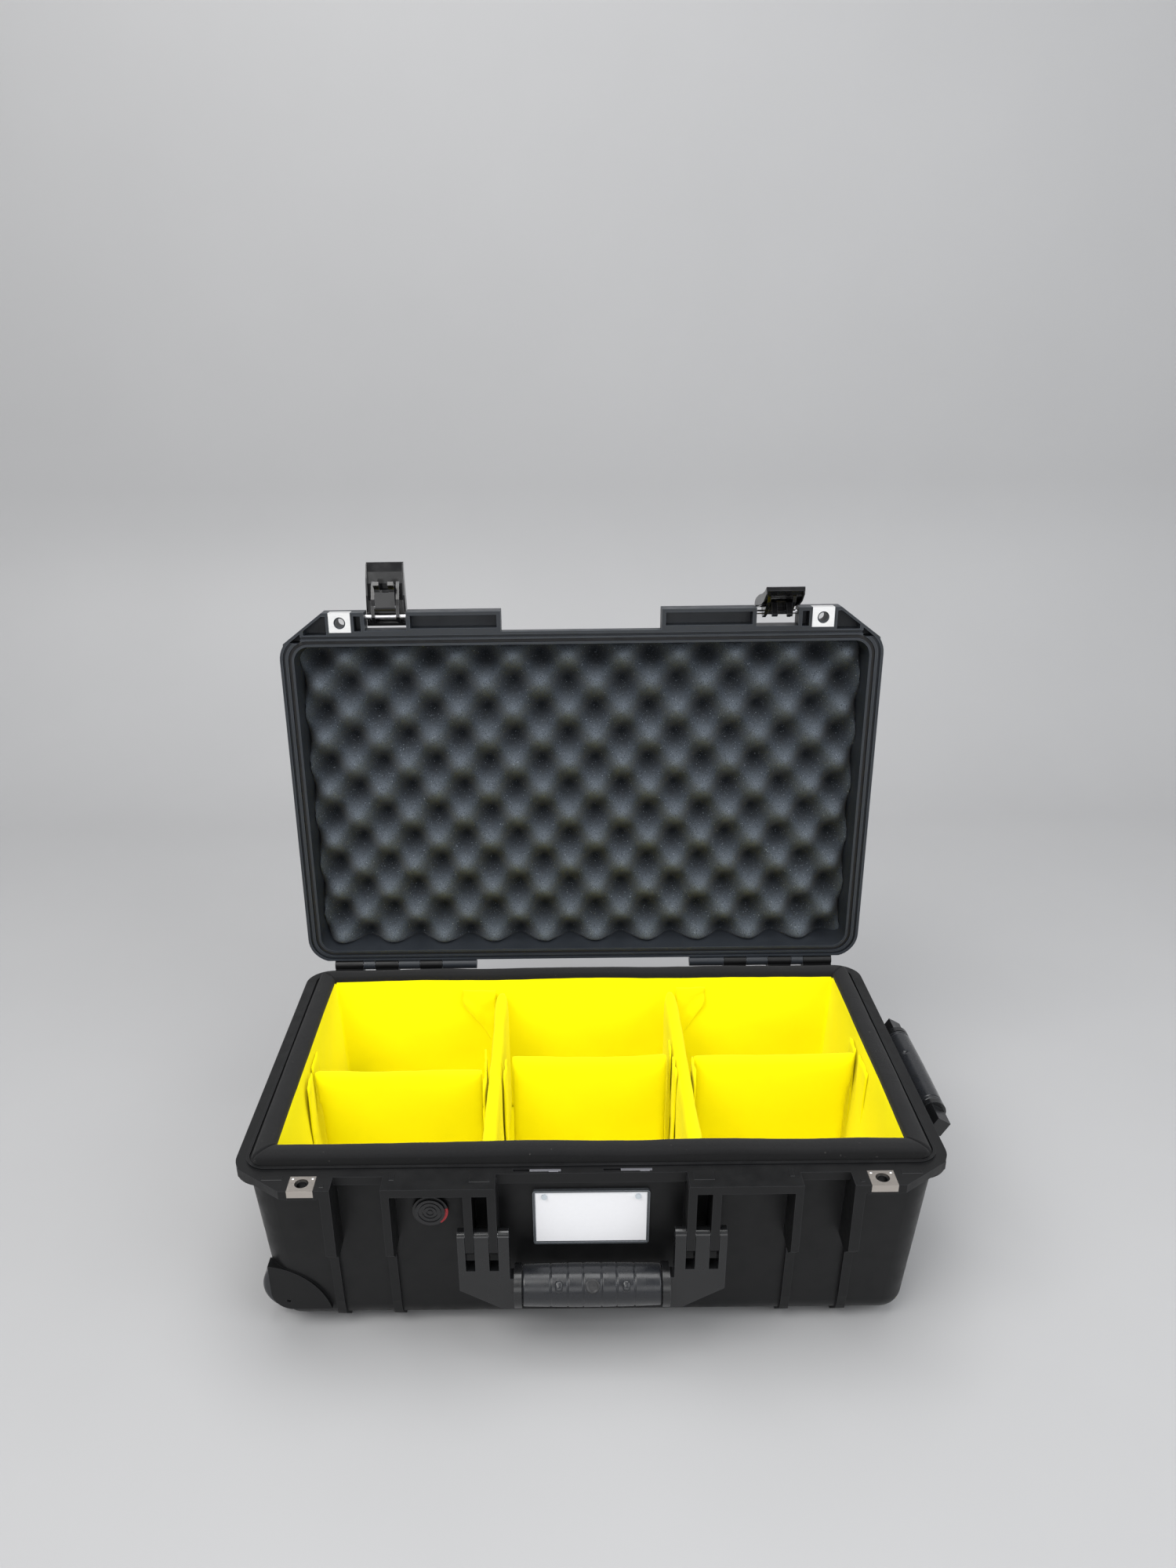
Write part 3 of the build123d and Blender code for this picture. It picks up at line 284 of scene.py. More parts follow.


# edge sets how much lighter each plastic's painted edge highlight is
CASE = plastic("case_plastic", (0.0045, 0.0046, 0.0050), 0.42, edge=5.5, shine=0.30)
# painted light: the lid is the same plastic as the case, coloured lighter for the top light that falls on it
LID = plastic("lid_plastic", (0.020, 0.0235, 0.029), 0.42, edge=3.4, shine=0.4)
FITTING = plastic("fitting_plastic", (0.009, 0.009, 0.010), 0.36)
HANDLE = plastic("handle_plastic", (0.0085, 0.0088, 0.0095), 0.22, grain=0.06, edge=4.2)
LATCH = plastic("latch_plastic", (0.0045, 0.0045, 0.0050), 0.13, grain=0.02, edge=11.0)
BUTTON = plastic("button_plastic", (0.08, 0.08, 0.09), 0.5)
WHEEL = plastic("wheel_plastic", (0.025, 0.025, 0.027), 0.45)
TYRE = rubber("wheel_rubber", (0.017, 0.018, 0.022), 0.5)
GRIP = rubber("grip_rubber", (0.008, 0.009, 0.0115), 0.3, 0.12)
SEAL = rubber("seal_rubber", (0.006, 0.006, 0.007), 0.6)
NICKEL = metal("nickel_plate", (0.50, 0.46, 0.42), 0.34)
BRIGHT = metal("bright_plate", (0.96, 0.96, 0.96), 0.42, edge=1.04)
STEEL = metal("steel_pin", (0.6, 0.6, 0.62), 0.25)
TUBE = metal("aluminium_tube", (0.22, 0.22, 0.23), 0.35)
RED = ring_label("red_ring", (0.42, 0.012, 0.02), (0.008, 0.008, 0.009), -22.0, 34.0)
HOLDER = plastic("clear_holder", (0.055, 0.06, 0.066), 0.12, grain=0.03, edge=5.0)
CARD = paper("card", (0.93, 0.93, 0.95))
STUD = plastic("dark_stud", (0.55, 0.60, 0.64), 0.2, grain=0.02, edge=1.0)
BLACK_PILE = fleece("padded_fabric", (0.0062, 0.0062, 0.0068))
YELLOW = lining("yellow_lining", (1.0, 0.93, 0.0))
FOAM = foam("lid_foam")

SLOT_MATERIALS = {
    "case_plastic": CASE, "lid_plastic": LID, "fitting_plastic": FITTING, "handle_plastic": HANDLE,
    "button_plastic": BUTTON, "latch_plastic": LATCH, "wheel_plastic": WHEEL, "wheel_rubber": TYRE,
    "grip_rubber": GRIP, "seal_rubber": SEAL, "lid_foam": FOAM, "padded_fabric": BLACK_PILE,
    "yellow_lining": YELLOW, "nickel_plate": NICKEL, "bright_plate": BRIGHT, "steel_pin": STEEL,
    "aluminium_tube": TUBE, "red_ring": RED, "clear_holder": HOLDER, "card": CARD, "dark_stud": STUD,
}


# ---- mesh helpers ------------------------------------------------------------------------------
def piece(name, verts, faces, material, smooth=True):
    """A mesh object from points in millimetres."""
    mesh = bpy.data.meshes.new(name)
    mesh.from_pydata([Vector(v) * MM for v in verts], [], faces)
    mesh.validate()
    mesh.update()
    for polygon in mesh.polygons:
        polygon.use_smooth = smooth
    made = bpy.data.objects.new(name, mesh)
    bpy.context.collection.objects.link(made)
    for entry in material if isinstance(material, list) else [material]:
        mesh.materials.append(entry)
    return made


def grid_faces(rows, columns, closed_rows=False, closed_columns=False, start=0):
    """Quads over a rows x columns lattice of points."""
    faces = []
    for i in range(rows if closed_rows else rows - 1):
        for j in range(columns if closed_columns else columns - 1):
            here, above = start + i * columns, start + (i + 1) % rows * columns
            following = (j + 1) % columns
            faces.append((here + j, above + j, above + following, here + following))
    return faces


def border(rows, columns):
    """Indices round the edge of a lattice of points."""
    edge = list(range(columns)) + [i * columns + columns - 1 for i in range(1, rows)]
    edge += [(rows - 1) * columns + j for j in range(columns - 2, -1, -1)]
    return edge + [i * columns for i in range(rows - 2, 0, -1)]


def closed_sheet(rows, columns):
    """Faces of a thin sheet given as two lattices of points, one for each side."""
    faces = grid_faces(rows, columns)
    count = rows * columns
    faces += [tuple(count + v for v in reversed(face)) for face in faces]
    edge = border(rows, columns)
    for a, b in zip(edge, edge[1:] + edge[:1]):
        faces.append((a, count + a, count + b, b))
    return faces


def outward(obj):
    """Point the faces of a closed mesh outwards."""
    work = bmesh.new()
    work.from_mesh(obj.data)
    bmesh.ops.recalc_face_normals(work, faces=work.faces)
    work.to_mesh(obj.data)
    work.free()


def turned(point, y, z, degrees):
    """A point in millimetres turned about an axis along X through (y, z)."""
    a = math.radians(degrees)
    dy, dz = point[1] - y, point[2] - z
    return (point[0], y + dy * math.cos(a) - dz * math.sin(a), z + dy * math.sin(a) + dz * math.cos(a))


def opened(point):
    """A point on the shut lid, where it is with the lid open."""
    return turned(point, HINGE_Y, HINGE_Z, -LID_OPEN)


def wobble(x, y, z, scale, amount):
    """Smooth unevenness, repeatable from run to run."""
    return noise.noise(Vector((x, y, z)) * scale) * amount


# ---- lid foam ------------------------------------------------------------------------------------
def egg_crate():
    """Convoluted foam: rows of rounded peaks, every second row set over by half a pitch."""
    step = 2.6
    columns = int(2 * FOAM_HALF_X / step) + 1
    rows = int(2 * FOAM_HALF_Y / step) + 1
    first_peak_x, first_peak_y = -240.9, HINGE_Y - 25.0
    half = CRATE_PITCH / 2
    verts, rises = [], []
    for i in range(rows):
        for j in range(columns):
            x = -FOAM_HALF_X + 2 * FOAM_HALF_X * j / (columns - 1)
            y = -FOAM_HALF_Y + 2 * FOAM_HALF_Y * i / (rows - 1)
            wave = math.cos(math.pi * (x - first_peak_x) / half)
            wave *= math.cos(math.pi * (y - first_peak_y) / half)
            rise = (0.5 + 0.5 * wave) ** 0.8
            depth = 1.0 + 31.0 * (1 - rise)
            depth += wobble(x, y, 3.0, 0.02, 1.6) + wobble(x, y, 9.0, 0.35, 0.5)
            # the cut edge of the sheet is a little ragged
            edge = min(FOAM_HALF_X - abs(x), FOAM_HALF_Y - abs(y))
            if edge < 0.5:
                x += wobble(y * 3, x, 1.0, 0.1, 1.2) * (1 if x > 0 else -1)
            verts.append(opened((x, y, FOAM_FACE_Z + max(0.3, depth))))
            rises.append(rise)
    faces = grid_faces(rows, columns)
    # side walls and back
    outline = border(rows, columns)
    start = len(verts)
    for index in outline:
        i, j = divmod(index, columns)
        x = (-FOAM_HALF_X + 2 * FOAM_HALF_X * j / (columns - 1)) * 0.978
        y = (-FOAM_HALF_Y + 2 * FOAM_HALF_Y * i / (rows - 1)) * 0.965
        verts.append(opened((x, y, FOAM_BACK_Z)))
        rises.append(0.0)
    count = len(outline)
    for k in range(count):
        following = (k + 1) % count
        faces.append((outline[k], outline[following], start + following, start + k))
    faces.append(tuple(start + k for k in range(count)))
    made = piece("lid_foam_sheet", verts, faces, FOAM)
    outward(made)
    # rise drives the foam's painted shade in the valleys and painted light on the peaks
    attribute = made.data.attributes.new("rise", "FLOAT", "POINT")
    attribute.data.foreach_set("value", rises)
    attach(made, "lid")
    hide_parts("lid_foam")


# ---- padded insert -------------------------------------------------------------------------------
def pad_half(z, inset_x=0.0, inset_y=0.0):
    """Half width and half depth of the insert's outside at height z."""
    below = min(RIM_Z, z) - RIM_Z
    return PAD_HALF_X + TAPER_X * below - inset_x, PAD_HALF_Y + TAPER_Y * below - inset_y


def rounded_path(half_x, half_y, radius):
    """Points round a rounded rectangle, with their outward normals."""
    points = []
    corners = ((1, -1, -90), (1, 1, 0), (-1, 1, 90), (-1, -1, 180))
    for k, (sx, sy, start) in enumerate(corners):
        cx, cy = sx * (half_x - radius), sy * (half_y - radius)
        for i in range(PATH_CORNER + 1):
            a = math.radians(start + 90 * i / PATH_CORNER)
            points.append((cx + radius * math.cos(a), cy + radius * math.sin(a), math.cos(a), math.sin(a)))
        after = corners[(k + 1) % 4]
        nx, ny = after[0] * (half_x - radius), after[1] * (half_y - radius)
        a = math.radians(start + 90)
        ex, ey = cx + radius * math.cos(a), cy + radius * math.sin(a)
        fx, fy = nx + radius * math.cos(a), ny + radius * math.sin(a)
        count = PATH_Y if k % 2 == 0 else PATH_X
        for i in range(1, count):
            t = i / count
            points.append((ex + (fx - ex) * t, ey + (fy - ey) * t, math.cos(a), math.sin(a)))
    return points


def surround():
    """The padded wall of the insert: black pile outside and over the top, yellow lining inside."""
    profile = []
    steps, outer_round, inner_round = 5, 4.2, 3.2
    # outside going up, over the boxy top, and down the inside; t is 0 outside and 1 inside
    for i in range(14):
        z = PAD_LOW_Z + (PAD_TOP_Z - outer_round - PAD_LOW_Z) * i / 13
        profile.append((0.0, z, "black"))
    for i in range(1, steps + 1):
        a = math.pi / 2 * i / steps
        z = PAD_TOP_Z - outer_round * (1 - math.sin(a))
        profile.append((outer_round * (1 - math.cos(a)) / PAD_X, z, "black"))
    for t in (0.38, 0.52, 0.66):
        profile.append((t, PAD_TOP_Z + 0.5, "black"))
    for i in range(steps):
        a = math.pi / 2 * (1 - i / steps)
        z = PAD_TOP_Z - inner_round * (1 - math.sin(a))
        profile.append((1 - inner_round * (1 - math.cos(a)) / PAD_X, z, "black"))
    profile.append((0.985, PAD_TOP_Z - 4.0, "black"))
    profile.append((1.0, PAD_TOP_Z - 4.8, "seam"))
    for i in range(1, 26):
        z = PAD_TOP_Z - 6.0 + (PAD_LOW_Z - PAD_TOP_Z + 6.0) * i / 25
        profile.append((1.0, z, "yellow"))
    path_count = len(rounded_path(100, 60, 5))
    columns = len(profile)
    # sewn mitre across each corner: the path's corner arcs start at these indices
    mitres = {}
    start = 0
    for straight in (PATH_Y, PATH_X, PATH_Y, PATH_X):
        for shift, drop in ((4, 0.7), (5, 2.0), (6, 0.7)):
            mitres[start + shift] = drop
        start += PATH_CORNER + straight
    verts = []
    for k in range(path_count):
        for t, z, kind in profile:
            half_x, half_y = pad_half(z)
            # the corners follow the case below the rim and are squarer above it
            free = max(0.0, min(1.0, (z - 165.0) / 5.0))
            ox, oy, nx, ny = path_point(half_x, half_y, 12.0 - 6.5 * free, k)
            ix, iy, _, _ = path_point(half_x - PAD_X, half_y - PAD_Y, 3.0, k)
            x, y = ox + (ix - ox) * t, oy + (iy - oy) * t
            # padding bows a little between its sewn edges
            span = (z - PAD_LOW_Z) / (PAD_TOP_Z - PAD_LOW_Z)
            belly = math.sin(math.pi * max(0.0, min(1.0, span)))
            corner = min(1.0, min(half_x - abs(ox), 60) / 60 + min(half_y - abs(oy), 60) / 60)
            if kind == "yellow":
                push = -0.5 * belly + wobble(x, y, z, 0.018, 1.3) + wobble(x, y, z, 0.05, 0.5)
                push = min(push, 0.9)
                x, y = x + nx * push, y + ny * push
            elif t == 0.0:
                push = -0.4 + wobble(x, y, z, 0.03, 0.35)
                x, y = x + nx * push, y + ny * push
            lift = 0.0
            if z > PAD_TOP_Z - 7:
                lift = wobble(x, y, 0, 0.012, 1.4) + wobble(x, y, 5, 0.06, 0.35) - 0.8 * (1 - corner)
                if k in mitres:
                    lift -= mitres[k]
            verts.append((x, y, z + lift))
    faces = grid_faces(path_count, columns, closed_rows=True, closed_columns=True)
    made = piece("insert_padded_wall", verts, faces, [BLACK_PILE, YELLOW])
    outward(made)
    first_yellow = next(i for i, entry in enumerate(profile) if entry[2] == "seam")
    for polygon in made.data.polygons:
        column = min(v % columns for v in polygon.vertices)
        wraps = max(v % columns for v in polygon.vertices) - column > 1
        polygon.material_index = 1 if column >= first_yellow and not wraps else 0
    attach(made, "base")
    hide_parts("insert_surround")


_paths = {}


def path_point(half_x, half_y, radius, k):
    """One point of a rounded path, kept so that each path is worked out once."""
    key = (round(half_x, 3), round(half_y, 3), radius)
    if key not in _paths:
        _paths[key] = rounded_path(half_x, half_y, radius)
    return _paths[key][k]


def board(name, low, high, taper_ends=(0.0, 0.0)):
    """A thin padded board as a lattice box, to be swollen by the cloth solver."""
    work = bmesh.new()
    bmesh.ops.create_cube(work, size=1.0)
    centre = [(a + b) / 2 for a, b in zip(low, high)]
    size = [b - a for a, b in zip(low, high)]
    for vert in work.verts:
        vert.co = Vector([c + s * v for c, s, v in zip(centre, size, vert.co)]) * MM
    # the boards narrow towards the floor with the case
    long_axis = 0 if size[0] > size[1] else 1
    for vert in work.verts:
        if vert.co.z < centre[2] * MM:
            end = 0 if vert.co[long_axis] < centre[long_axis] * MM else 1
            vert.co[long_axis] += taper_ends[end] * MM
    mesh = bpy.data.meshes.new(name)
    work.to_mesh(mesh)
    work.free()
    made = bpy.data.objects.new(name, mesh)
    bpy.context.collection.objects.link(made)
    mesh.materials.append(YELLOW)
    return made


def applied(obj):
    """The object's evaluated mesh, taken as its own, with no modifier left."""
    graph = bpy.context.evaluated_depsgraph_get()
    mesh = bpy.data.meshes.new_from_object(obj.evaluated_get(graph))
    old = obj.data
    obj.modifiers.clear()
    obj.data = mesh
    bpy.data.meshes.remove(old)


def swell(obj, voxel=5.0, pressure=4.0, cap=3.0, frames=16):
    """Inflate a pad with the cloth solver; no point moves further than the cap."""
    remesh = obj.modifiers.new("remesh", "REMESH")
    remesh.mode = "VOXEL"
    remesh.voxel_size = voxel * MM
    applied(obj)
    before = [v.co.copy() for v in obj.data.vertices]
    cloth = obj.modifiers.new("cloth", "CLOTH")
    cloth.settings.quality = 5
    cloth.settings.mass = 0.3
    cloth.settings.use_pressure = True
    cloth.settings.uniform_pressure_force = pressure
    cloth.settings.tension_stiffness = 15
    cloth.settings.compression_stiffness = 15
    cloth.settings.bending_stiffness = 0.6
    cloth.settings.effector_weights.gravity = 0.0
    cloth.collision_settings.use_collision = False
    cloth.point_cache.frame_start = 1
    cloth.point_cache.frame_end = frames
    scene = bpy.context.scene
    for number in range(1, frames + 1):
        scene.frame_set(number)
    applied(obj)
    scene.frame_set(1)
    for vert, origin in zip(obj.data.vertices, before):
        move = vert.co - origin
        if move.length > cap * MM:
            vert.co = origin + move.normalized() * cap * MM
    for polygon in obj.data.polygons:
        polygon.use_smooth = True


def soften(obj):
    """Round the voxel steps off."""
    smooth = obj.modifiers.new("smooth", "SMOOTH")
    smooth.iterations = 6
    smooth.factor = 0.5
    applied(obj)
    for polygon in obj.data.polygons:
        polygon.use_smooth = True


def wrinkle(obj, seed, amount=0.9):
    """Low folds in the cover, pushed out along the normals by smooth noise."""
    for vert in obj.data.vertices:
        p = vert.co / MM
        push = wobble(p.x + seed, p.y * 0.7, p.z * 0.35, 0.05, amount)
        push += wobble(p.x, p.y + seed, p.z, 0.012, amount)
        vert.co += vert.normal * push * MM


def flap(points, low_z, high_z, thickness, lean, seed, slant=(0.0, 0.0)):
    """A thin hook-and-loop tab standing along a line in plan: points in (x, y), wavy at its free edge.

    slant raises its lower edge, at the start and at the end of the line.
    """
    rows = 22
    columns = 12
    verts = []
    for side in (0, 1):
        for i in range(rows):
            t = i / (rows - 1)
            for j in range(columns):
                u = j / (columns - 1)
                low = low_z + slant[0] * (1 - u) + slant[1] * u
                z = low + (high_z - low) * t
                span = u * (len(points) - 1)
                k = min(int(span), len(points) - 2)
                f = span - k
                x = points[k][0] + (points[k + 1][0] - points[k][0]) * f
                y = points[k][1] + (points[k + 1][1] - points[k][1]) * f
                dx, dy = points[k + 1][0] - points[k][0], points[k + 1][1] - points[k][1]
                length = math.hypot(dx, dy)
                nx, ny = -dy / length, dx / length
                bow = lean * u * u * (0.4 + 0.6 * math.sin(math.pi * t * 1.6 + seed))
                bow += wobble(u * 3, t * 3, seed, 1.0, 1.2)
                off = bow + side * thickness
                drop = wobble(u * 2, seed, 1, 1.0, 2.0) if i == rows - 1 else 0.0
                verts.append((x + nx * off, y + ny * off, z + drop))
    return verts, closed_sheet(rows, columns)


def join(target, extra):
    """Merge other pieces into one object."""
    bpy.ops.object.select_all(action="DESELECT")
    for obj in extra:
        obj.select_set(True)
    target.select_set(True)
    bpy.context.view_layer.objects.active = target
    bpy.ops.object.join()


DIVIDER_LOW_Z, DIVIDER_TOP_Z = 31.5, 164.0
DIVIDERS = {
    # name: low corner, high corner (mm, before swelling), taper of each end at the floor
    "divider_cross_left": ((-84.5, -129.5, DIVIDER_LOW_Z), (-75.5, 129.5, DIVIDER_TOP_Z), (9.0, -9.0)),
    "divider_cross_right": ((79.5, -129.5, DIVIDER_LOW_Z), (88.5, 129.5, DIVIDER_TOP_Z), (9.0, -9.0)),
    "divider_long_left": ((-240.5, -14.0, DIVIDER_LOW_Z), (-89.0, -6.0, DIVIDER_TOP_Z - 1.0), (7.5, 0.0)),
    "divider_long_middle": ((-71.0, 5.0, DIVIDER_LOW_Z), (75.0, 13.0, DIVIDER_TOP_Z), (0.0, 0.0)),
    "divider_long_right": ((93.0, 5.0, DIVIDER_LOW_Z), (240.5, 13.0, DIVIDER_TOP_Z), (0.0, -7.5)),
}


def dividers():
    """Five padded boards, each with its folded tabs."""
    top = DIVIDER_TOP_Z - 1.0
    tabs = {
        "divider_long_left": [
            (((-239.5, -6.0), (-239.8, 12.0), (-239.6, 20.0)), 1.5),
            (((-239.5, -14.5), (-239.0, -26.0), (-237.5, -38.0)), -2.0),
            (((-88.6, -14.5), (-88.6, -28.0), (-89.0, -36.0)), 1.0),
            (((-88.4, -6.0), (-88.4, 12.0), (-88.6, 20.0)), 1.0),
        ],
        "divider_long_middle": [
            (((-71.4, 4.6), (-71.6, -10.0), (-71.8, -22.0)), -1.0),
            (((75.4, 4.6), (75.6, -10.0), (75.8, -22.0)), -1.0),
            (((75.4, 13.4), (75.6, 26.0), (75.8, 34.0)), 1.0),
        ],
        "divider_long_right": [
            (((92.4, 4.6), (92.2, -10.0), (92.0, -22.0)), 1.0),
            (((239.6, 13.4), (239.8, 26.0), (239.4, 34.0)), 1.0),
            (((239.6, 4.6), (239.4, -12.0), (238.6, -26.0)), 1.0),
        ],
        "divider_cross_left": [(((-86.2, 127.6), (-100.0, 127.2), (-118.0, 127.8)), 4.0)],
        "divider_cross_right": [(((90.2, 127.6), (104.0, 127.2), (118.0, 127.8)), -4.0)],
    }
    corner_slant = (62.0, 112.0)
    for number, (name, (low, high, taper)) in enumerate(DIVIDERS.items()):
        made = board(name + "_pad", low, high, taper)
        swell(made, voxel=4.5, cap=1.9)
        wrinkle(made, 13.0 * number, 0.85)
        soften(made)
        extra = []
        for k, (line, lean) in enumerate(tabs[name]):
            slant = corner_slant if "cross" in name else (0.0, 0.0)
            verts, faces = flap(line, DIVIDER_LOW_Z + 3, top, 1.3, lean * 0.5, 2.1 * k + number, slant)
            extra.append(piece(f"{name}_tab_{k}", verts, faces, YELLOW))
            outward(extra[-1])
        join(made, extra)
        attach(made, "base")
        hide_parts(name)


def floor_pad():
    """Padded floor of the insert, a little uneven on top."""
    half_x, half_y = pad_half(PAD_LOW_Z, 1.0, 1.0)
    columns, rows = 121, 71
    top, bottom = [], []
    for i in range(rows):
        for j in range(columns):
            x = -half_x + 2 * half_x * j / (columns - 1)
            y = -half_y + 2 * half_y * i / (rows - 1)
            top.append((x, y, FLOOR_TOP_Z + wobble(x, y, 0, 0.02, 0.8)))
            bottom.append((x, y, FLOOR_LOW_Z))
    made = piece("insert_floor_pad", top + bottom, closed_sheet(rows, columns), YELLOW)
    outward(made)
    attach(made, "base")
    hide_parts("insert_floor")


# ---- grips ---------------------------------------------------------------------------------------
def turned_grip(name, length, radius_at, place, material, around=72, along=220):
    """A bar turned along its own X axis; place maps a point on it into the row frame."""
    verts = []
    for i in range(along):
        x = -length / 2 + length * i / (along - 1)
        for j in range(around):
            a = 2 * math.pi * j / around
            r = radius_at(x, a)
            verts.append(place((x, r * math.cos(a), r * math.sin(a))))
    faces = grid_faces(along, around, closed_columns=True)
    faces.append(tuple(range(around)))
    faces.append(tuple((along - 1) * around + j for j in range(around)))
    made = piece(name, verts, faces, material)
    outward(made)
    return made


def notch(x, places, width, depth):
    """Depth of the narrow grooves cut round a bar at these places."""
    cut = 0.0
    for at in places:
        cut = max(cut, depth * math.exp(-(((x - at) / width) ** 2)))
    return cut


FACE_ANGLE = math.radians(142)          # up and to the front, where the grip's tabs and screw are


def front_grip():
    """Rubber grip with moulded bands, two small raised tabs and a screw recess in the middle."""
    bands = (-32.0, -18.8, -6.8, 7.4, 19.2, 33.0)
    centre_y, centre_z = -171.0, 67.5

    def radius(x, a):
        r = 15.4 + 1.1 * math.cos(math.pi * x / 120)
        r -= notch(x, bands, 0.45, 0.75)
        end = 54.0 - abs(x)
        if end < 2.0:
            r -= 2.0 - math.sqrt(max(0.0, 4.0 - (2.0 - end) ** 2))
        return r

    def place(p):
        return (p[0], centre_y + p[1], centre_z + p[2])

    made = turned_grip("front_grip_rubber", 108.0, radius, place, GRIP, along=260)
    extra = []
    for x in (-25.6, 26.2):
        name = f"front_grip_tab_{len(extra)}"
        extra.append(pill(name, x, 3.0, 4.4, 16.6, FACE_ANGLE, centre_y, centre_z))
    join(made, extra)
    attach(made, "front_handle")
    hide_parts("front_handle_grip")
    screw_recess(centre_y, centre_z)


def pill(name, x, half_x, half_s, radius, angle, centre_y, centre_z):
    """A small rounded tab standing on a bar at that angle."""
    verts = []
    rings = ((1.0, 0.0), (1.0, 0.9), (0.9, 1.5), (0.6, 1.85), (0.0, 1.95))
    count = 28
    for scale, rise in rings:
        for k in range(count):
            a = 2 * math.pi * k / count
            c, s = math.cos(a), math.sin(a)
            px = x + half_x * scale * math.copysign(abs(c) ** 0.6, c)
            ps = half_s * scale * math.copysign(abs(s) ** 0.6, s)
            t = angle + ps / radius
            r = radius - 0.6 + rise
            verts.append((px, centre_y + r * math.cos(t), centre_z + r * math.sin(t)))
    faces = grid_faces(len(rings), count, closed_columns=True)
    faces.append(tuple((len(rings) - 1) * count + k for k in range(count)))
    made = piece(name, verts, faces, GRIP)
    outward(made)
    return made


def screw_recess(centre_y, centre_z):
    """A dark recessed cap with the screw head at its bottom."""
    count = 36
    rings = ((5.6, 16.9), (5.2, 17.3), (4.4, 17.2), (3.7, 16.7), (2.4, 16.6), (1.2, 16.75), (0.0, 16.8))
    verts = []
    for radius, height in rings:
        for k in range(count):
            a = 2 * math.pi * k / count
            u, v = radius * math.cos(a), radius * math.sin(a)
            t = FACE_ANGLE + v / 16.5
            verts.append((u + 0.3, centre_y + height * math.cos(t), centre_z + height * math.sin(t)))
    faces = grid_faces(len(rings), count, closed_columns=True)
    made = piece("front_grip_screw_cap", verts, faces, FITTING)
    outward(made)
    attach(made, "front_handle")


def side_grip():
    """Smooth rubber grip of the side handle, with a seam at each end and a moulding dimple."""
    pivot_x, pivot_z, arm, rest = 268.5, 112.0, 40.0, 150.0
    a = math.radians(rest)
    centre_x, centre_z = pivot_x + arm * math.sin(a), pivot_z - arm * math.cos(a)

    def radius(y, angle):
        r = 10.3 + 0.5 * math.cos(math.pi * y / 120)
        r -= notch(y, (-50.0, 50.0), 0.5, 0.6)
        end = 54.0 - abs(y)
        if end < 1.5:
            r -= 1.5 - math.sqrt(max(0.0, 2.25 - (1.5 - end) ** 2))
        up = (angle - math.radians(110)) * 10
        if (up / 2.2) ** 2 + ((y - 18) / 2.2) ** 2 < 4:
            r -= 1.2 * math.exp(-((up / 1.8) ** 2 + ((y - 18) / 1.8) ** 2))
        return r

    def place(p):
        return (centre_x + p[1], p[0], centre_z + p[2])

    made = turned_grip("side_grip_rubber", 108.0, radius, place, GRIP, around=64, along=180)
    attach(made, "side_handle")
    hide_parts("side_handle_grip")


# ---- small mouldings on the rim --------------------------------------------------------------------
def chamfered(name, low, high, edge, material):
    """A block with its upper edges taken off."""
    rings = ((0.0, low[2]), (0.0, high[2] - edge), (edge, high[2]))
    verts = []
    for inset, z in rings:
        for x, y in ((low[0] + inset, low[1] + inset), (high[0] - inset, low[1] + inset),
                     (high[0] - inset, high[1] - inset), (low[0] + inset, high[1] - inset)):
            verts.append((x, y, z))
    faces = grid_faces(3, 4, closed_columns=True) + [(3, 2, 1, 0), (8, 9, 10, 11)]
    made = piece(name, verts, faces, material, smooth=False)
    outward(made)
    return made


def rim_mouldings():
    """Raised pads on the shoulders, stop dots beside the latch bays and two light tabs on the front rim."""
    pads = []
    for side in (-1, 1):
        spots = (
            (76.0, 91.5, -171.5, -161.0, 0.3), (147.8, 151.4, -168.5, -159.5, 0.35),
            (231.5, 247.0, -167.0, -162.2, 0.35),
        )
        for near, far, y0, y1, rise in spots:
            x0, x1 = sorted((side * near, side * far))
            pads.append(chamfered("rim_pad", (x0, y0, RIM_Z - 0.2), (x1, y1, RIM_Z + rise), 0.3, CASE))
        x = side * 200.5
        low, high = (x - 1.5, -176.0, RIM_Z - 0.2), (x + 1.5, -173.0, RIM_Z + 0.35)
        pads.append(chamfered("rim_dot", low, high, 0.3, CASE))
    first = pads[0]
    join(first, pads[1:])
    first.name = "rim_pads"
    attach(first, "base")
    tabs = []
    for x0, x1 in ((-46.5, -23.0), (22.3, 45.8)):
        low, high = (x0, -159.5, RIM_Z - 0.2), (x1, -157.0, RIM_Z + 0.35)
        tabs.append(chamfered("rim_tab", low, high, 0.3, BUTTON))
        low, high = (x1 - 9, -160.3, RIM_Z - 0.2), (x1 - 2, -159.5, RIM_Z + 0.3)
        tabs.append(chamfered("rim_tab", low, high, 0.2, BUTTON))
    join(tabs[0], tabs[1:])
    tabs[0].name = "rim_tabs"
    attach(tabs[0], "base")


def rivets():
    """Two small domed rivets at the back corners of each padlock plate on the base."""
    verts, faces = [], []
    around = 14
    rings = ((1.15, -0.1), (1.15, 0.08), (0.95, 0.2), (0.5, 0.3), (0.0, 0.33))
    for x in (-223.4, -208.6, 208.6, 223.4):
        start = len(verts)
        for radius, rise in rings:
            for k in range(around):
                a = 2 * math.pi * k / around
                verts.append((x + radius * math.cos(a), -165.2 + radius * math.sin(a), RIM_Z + rise))
        faces += grid_faces(len(rings), around, closed_columns=True, start=start)
        faces.append(tuple(start + k for k in range(around)))
    made = piece("plate_rivets", verts, faces, BRIGHT)
    outward(made)
    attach(made, "base")


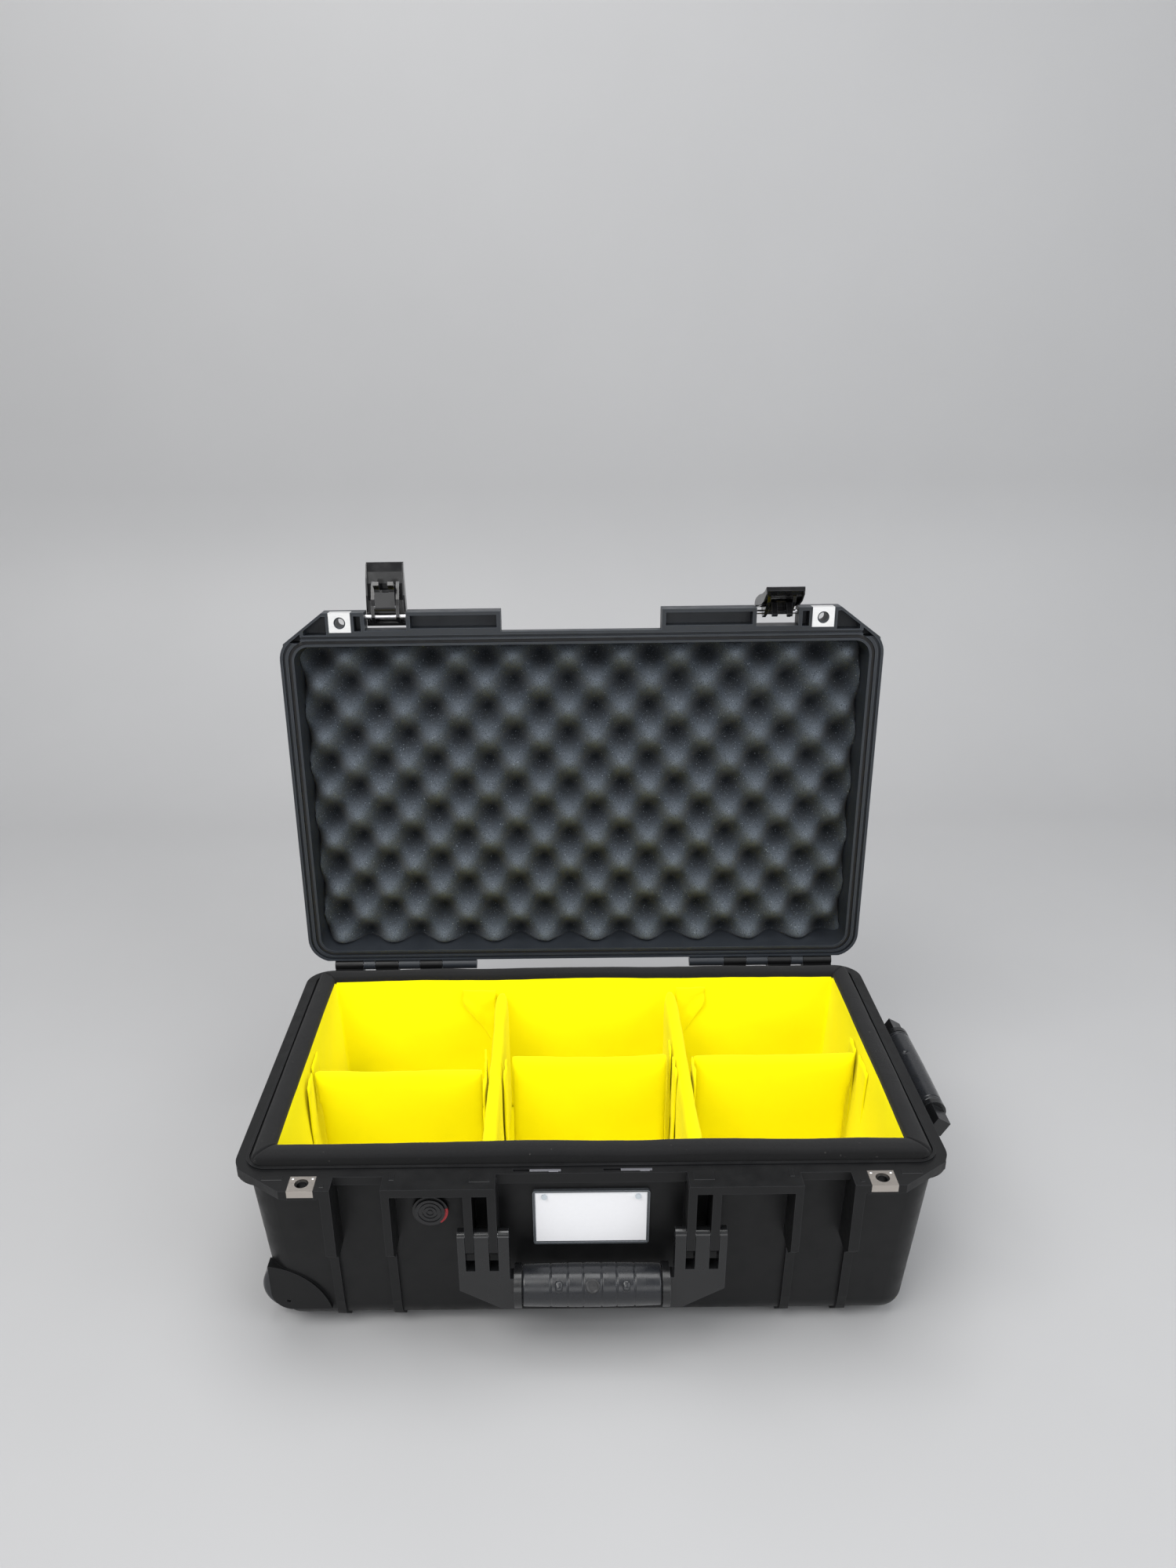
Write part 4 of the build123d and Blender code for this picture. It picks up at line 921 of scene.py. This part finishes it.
# ---- CAD nodes: finish and softened edges ----------------------------------------------------------
def finish_nodes():
    slots = {entry["node"]: entry["material_slot"] for entry in frame["record"]["subparts"]}
    edge_width = {
        "base_shell": 0.7, "lid_shell": 0.6, "front_handle_frame": 1.2, "side_handle_frame": 1.2,
        "left_latch_lever": 0.5, "right_latch_lever": 0.5, "card_holder": 0.25, "trolley_grip": 0.6,
        "base_padlock_guards": 0.25, "lid_padlock_guards": 0.25, "valve_body": 0.25, "valve_ring": 0.2,
        "left_latch_hook": 0.4, "right_latch_hook": 0.4, "trolley_collars": 0.5,
    }
    for name, obj in frame["nodes"].items():
        material = SLOT_MATERIALS[slots[name]]
        if not obj.material_slots:
            obj.data.materials.append(material)
        for entry in obj.material_slots:
            entry.material = material
        if name in edge_width:
            bevel = obj.modifiers.new("soft_edges", "BEVEL")
            bevel.width = edge_width[name] * MM
            bevel.segments = 2
            bevel.limit_method = "ANGLE"
            bevel.angle_limit = math.radians(38)
            bevel.use_clamp_overlap = True
            bevel.harden_normals = False


# ---- studio --------------------------------------------------------------------------------------
def studio():
    scene = bpy.context.scene
    floor_shader = Shader("studio_floor", (0.40, 0.40, 0.405), 0.5)
    floor_shader.paint(floor_shader.mix(floor_shader.noise(3, 3), (0.385, 0.385, 0.39), (0.415, 0.415, 0.42)))
    size, back, radius = 6000.0, 1500.0, 500.0
    outline = [(-4000.0, 0.0), (back - radius, 0.0)]
    for i in range(1, 13):
        a = math.pi / 2 * i / 12
        outline.append((back - radius + radius * math.sin(a), radius - radius * math.cos(a)))
    outline.append((back, 3500.0))
    verts = [(x, y, z) for y, z in outline for x in (-size, size)]
    floor = piece("studio_floor", verts, grid_faces(len(outline), 2), floor_shader.material)

    def area(name, place, target, width, height, power, color=(1, 1, 1)):
        light = bpy.data.lights.new(name, "AREA")
        light.shape = "RECTANGLE"
        light.size, light.size_y = width, height
        light.energy = power
        light.color = color
        obj = bpy.data.objects.new(name, light)
        obj.location = place
        obj.rotation_euler = (Vector(target) - Vector(place)).to_track_quat("-Z", "Y").to_euler()
        bpy.context.collection.objects.link(obj)

    area("key", (-1.2, -1.3, 2.3), (0, 0, 0.2), 1.8, 1.4, 48, (1.0, 0.99, 0.97))
    area("fill", (1.6, -1.2, 1.5), (0, 0, 0.25), 1.6, 1.6, 24, (0.96, 0.98, 1.0))
    area("top", (0.1, 0.1, 2.6), (0, 0, 0.1), 1.8, 1.4, 34)
    area("front", (0.0, -2.4, 0.9), (0, 0, 0.2), 2.0, 0.9, 10)
    world = bpy.data.worlds.new("studio_world")
    world.use_nodes = True
    world.node_tree.nodes["Background"].inputs["Color"].default_value = (0.92, 0.94, 0.97, 1)
    world.node_tree.nodes["Background"].inputs["Strength"].default_value = 0.5
    scene.world = world
    scene.view_settings.view_transform = "Standard"

    camera_data = bpy.data.cameras.new("camera")
    camera_data.sensor_fit = "VERTICAL"
    camera_data.sensor_height = 36.0
    camera_data.lens = 26.8
    camera_data.shift_x = 0.018
    camera_data.shift_y = 0.0735
    camera_data.clip_start = 0.05
    camera = bpy.data.objects.new("camera", camera_data)
    camera.location = (-0.0177, -0.8692, 0.7236)
    camera.rotation_euler = (math.radians(65.054), math.radians(0.706), math.radians(-0.066))
    bpy.context.collection.objects.link(camera)
    scene.camera = camera


studio()
finish_nodes()
egg_crate()
surround()
floor_pad()
dividers()
front_grip()
side_grip()
rim_mouldings()
rivets()

bpy.context.view_layer.update()
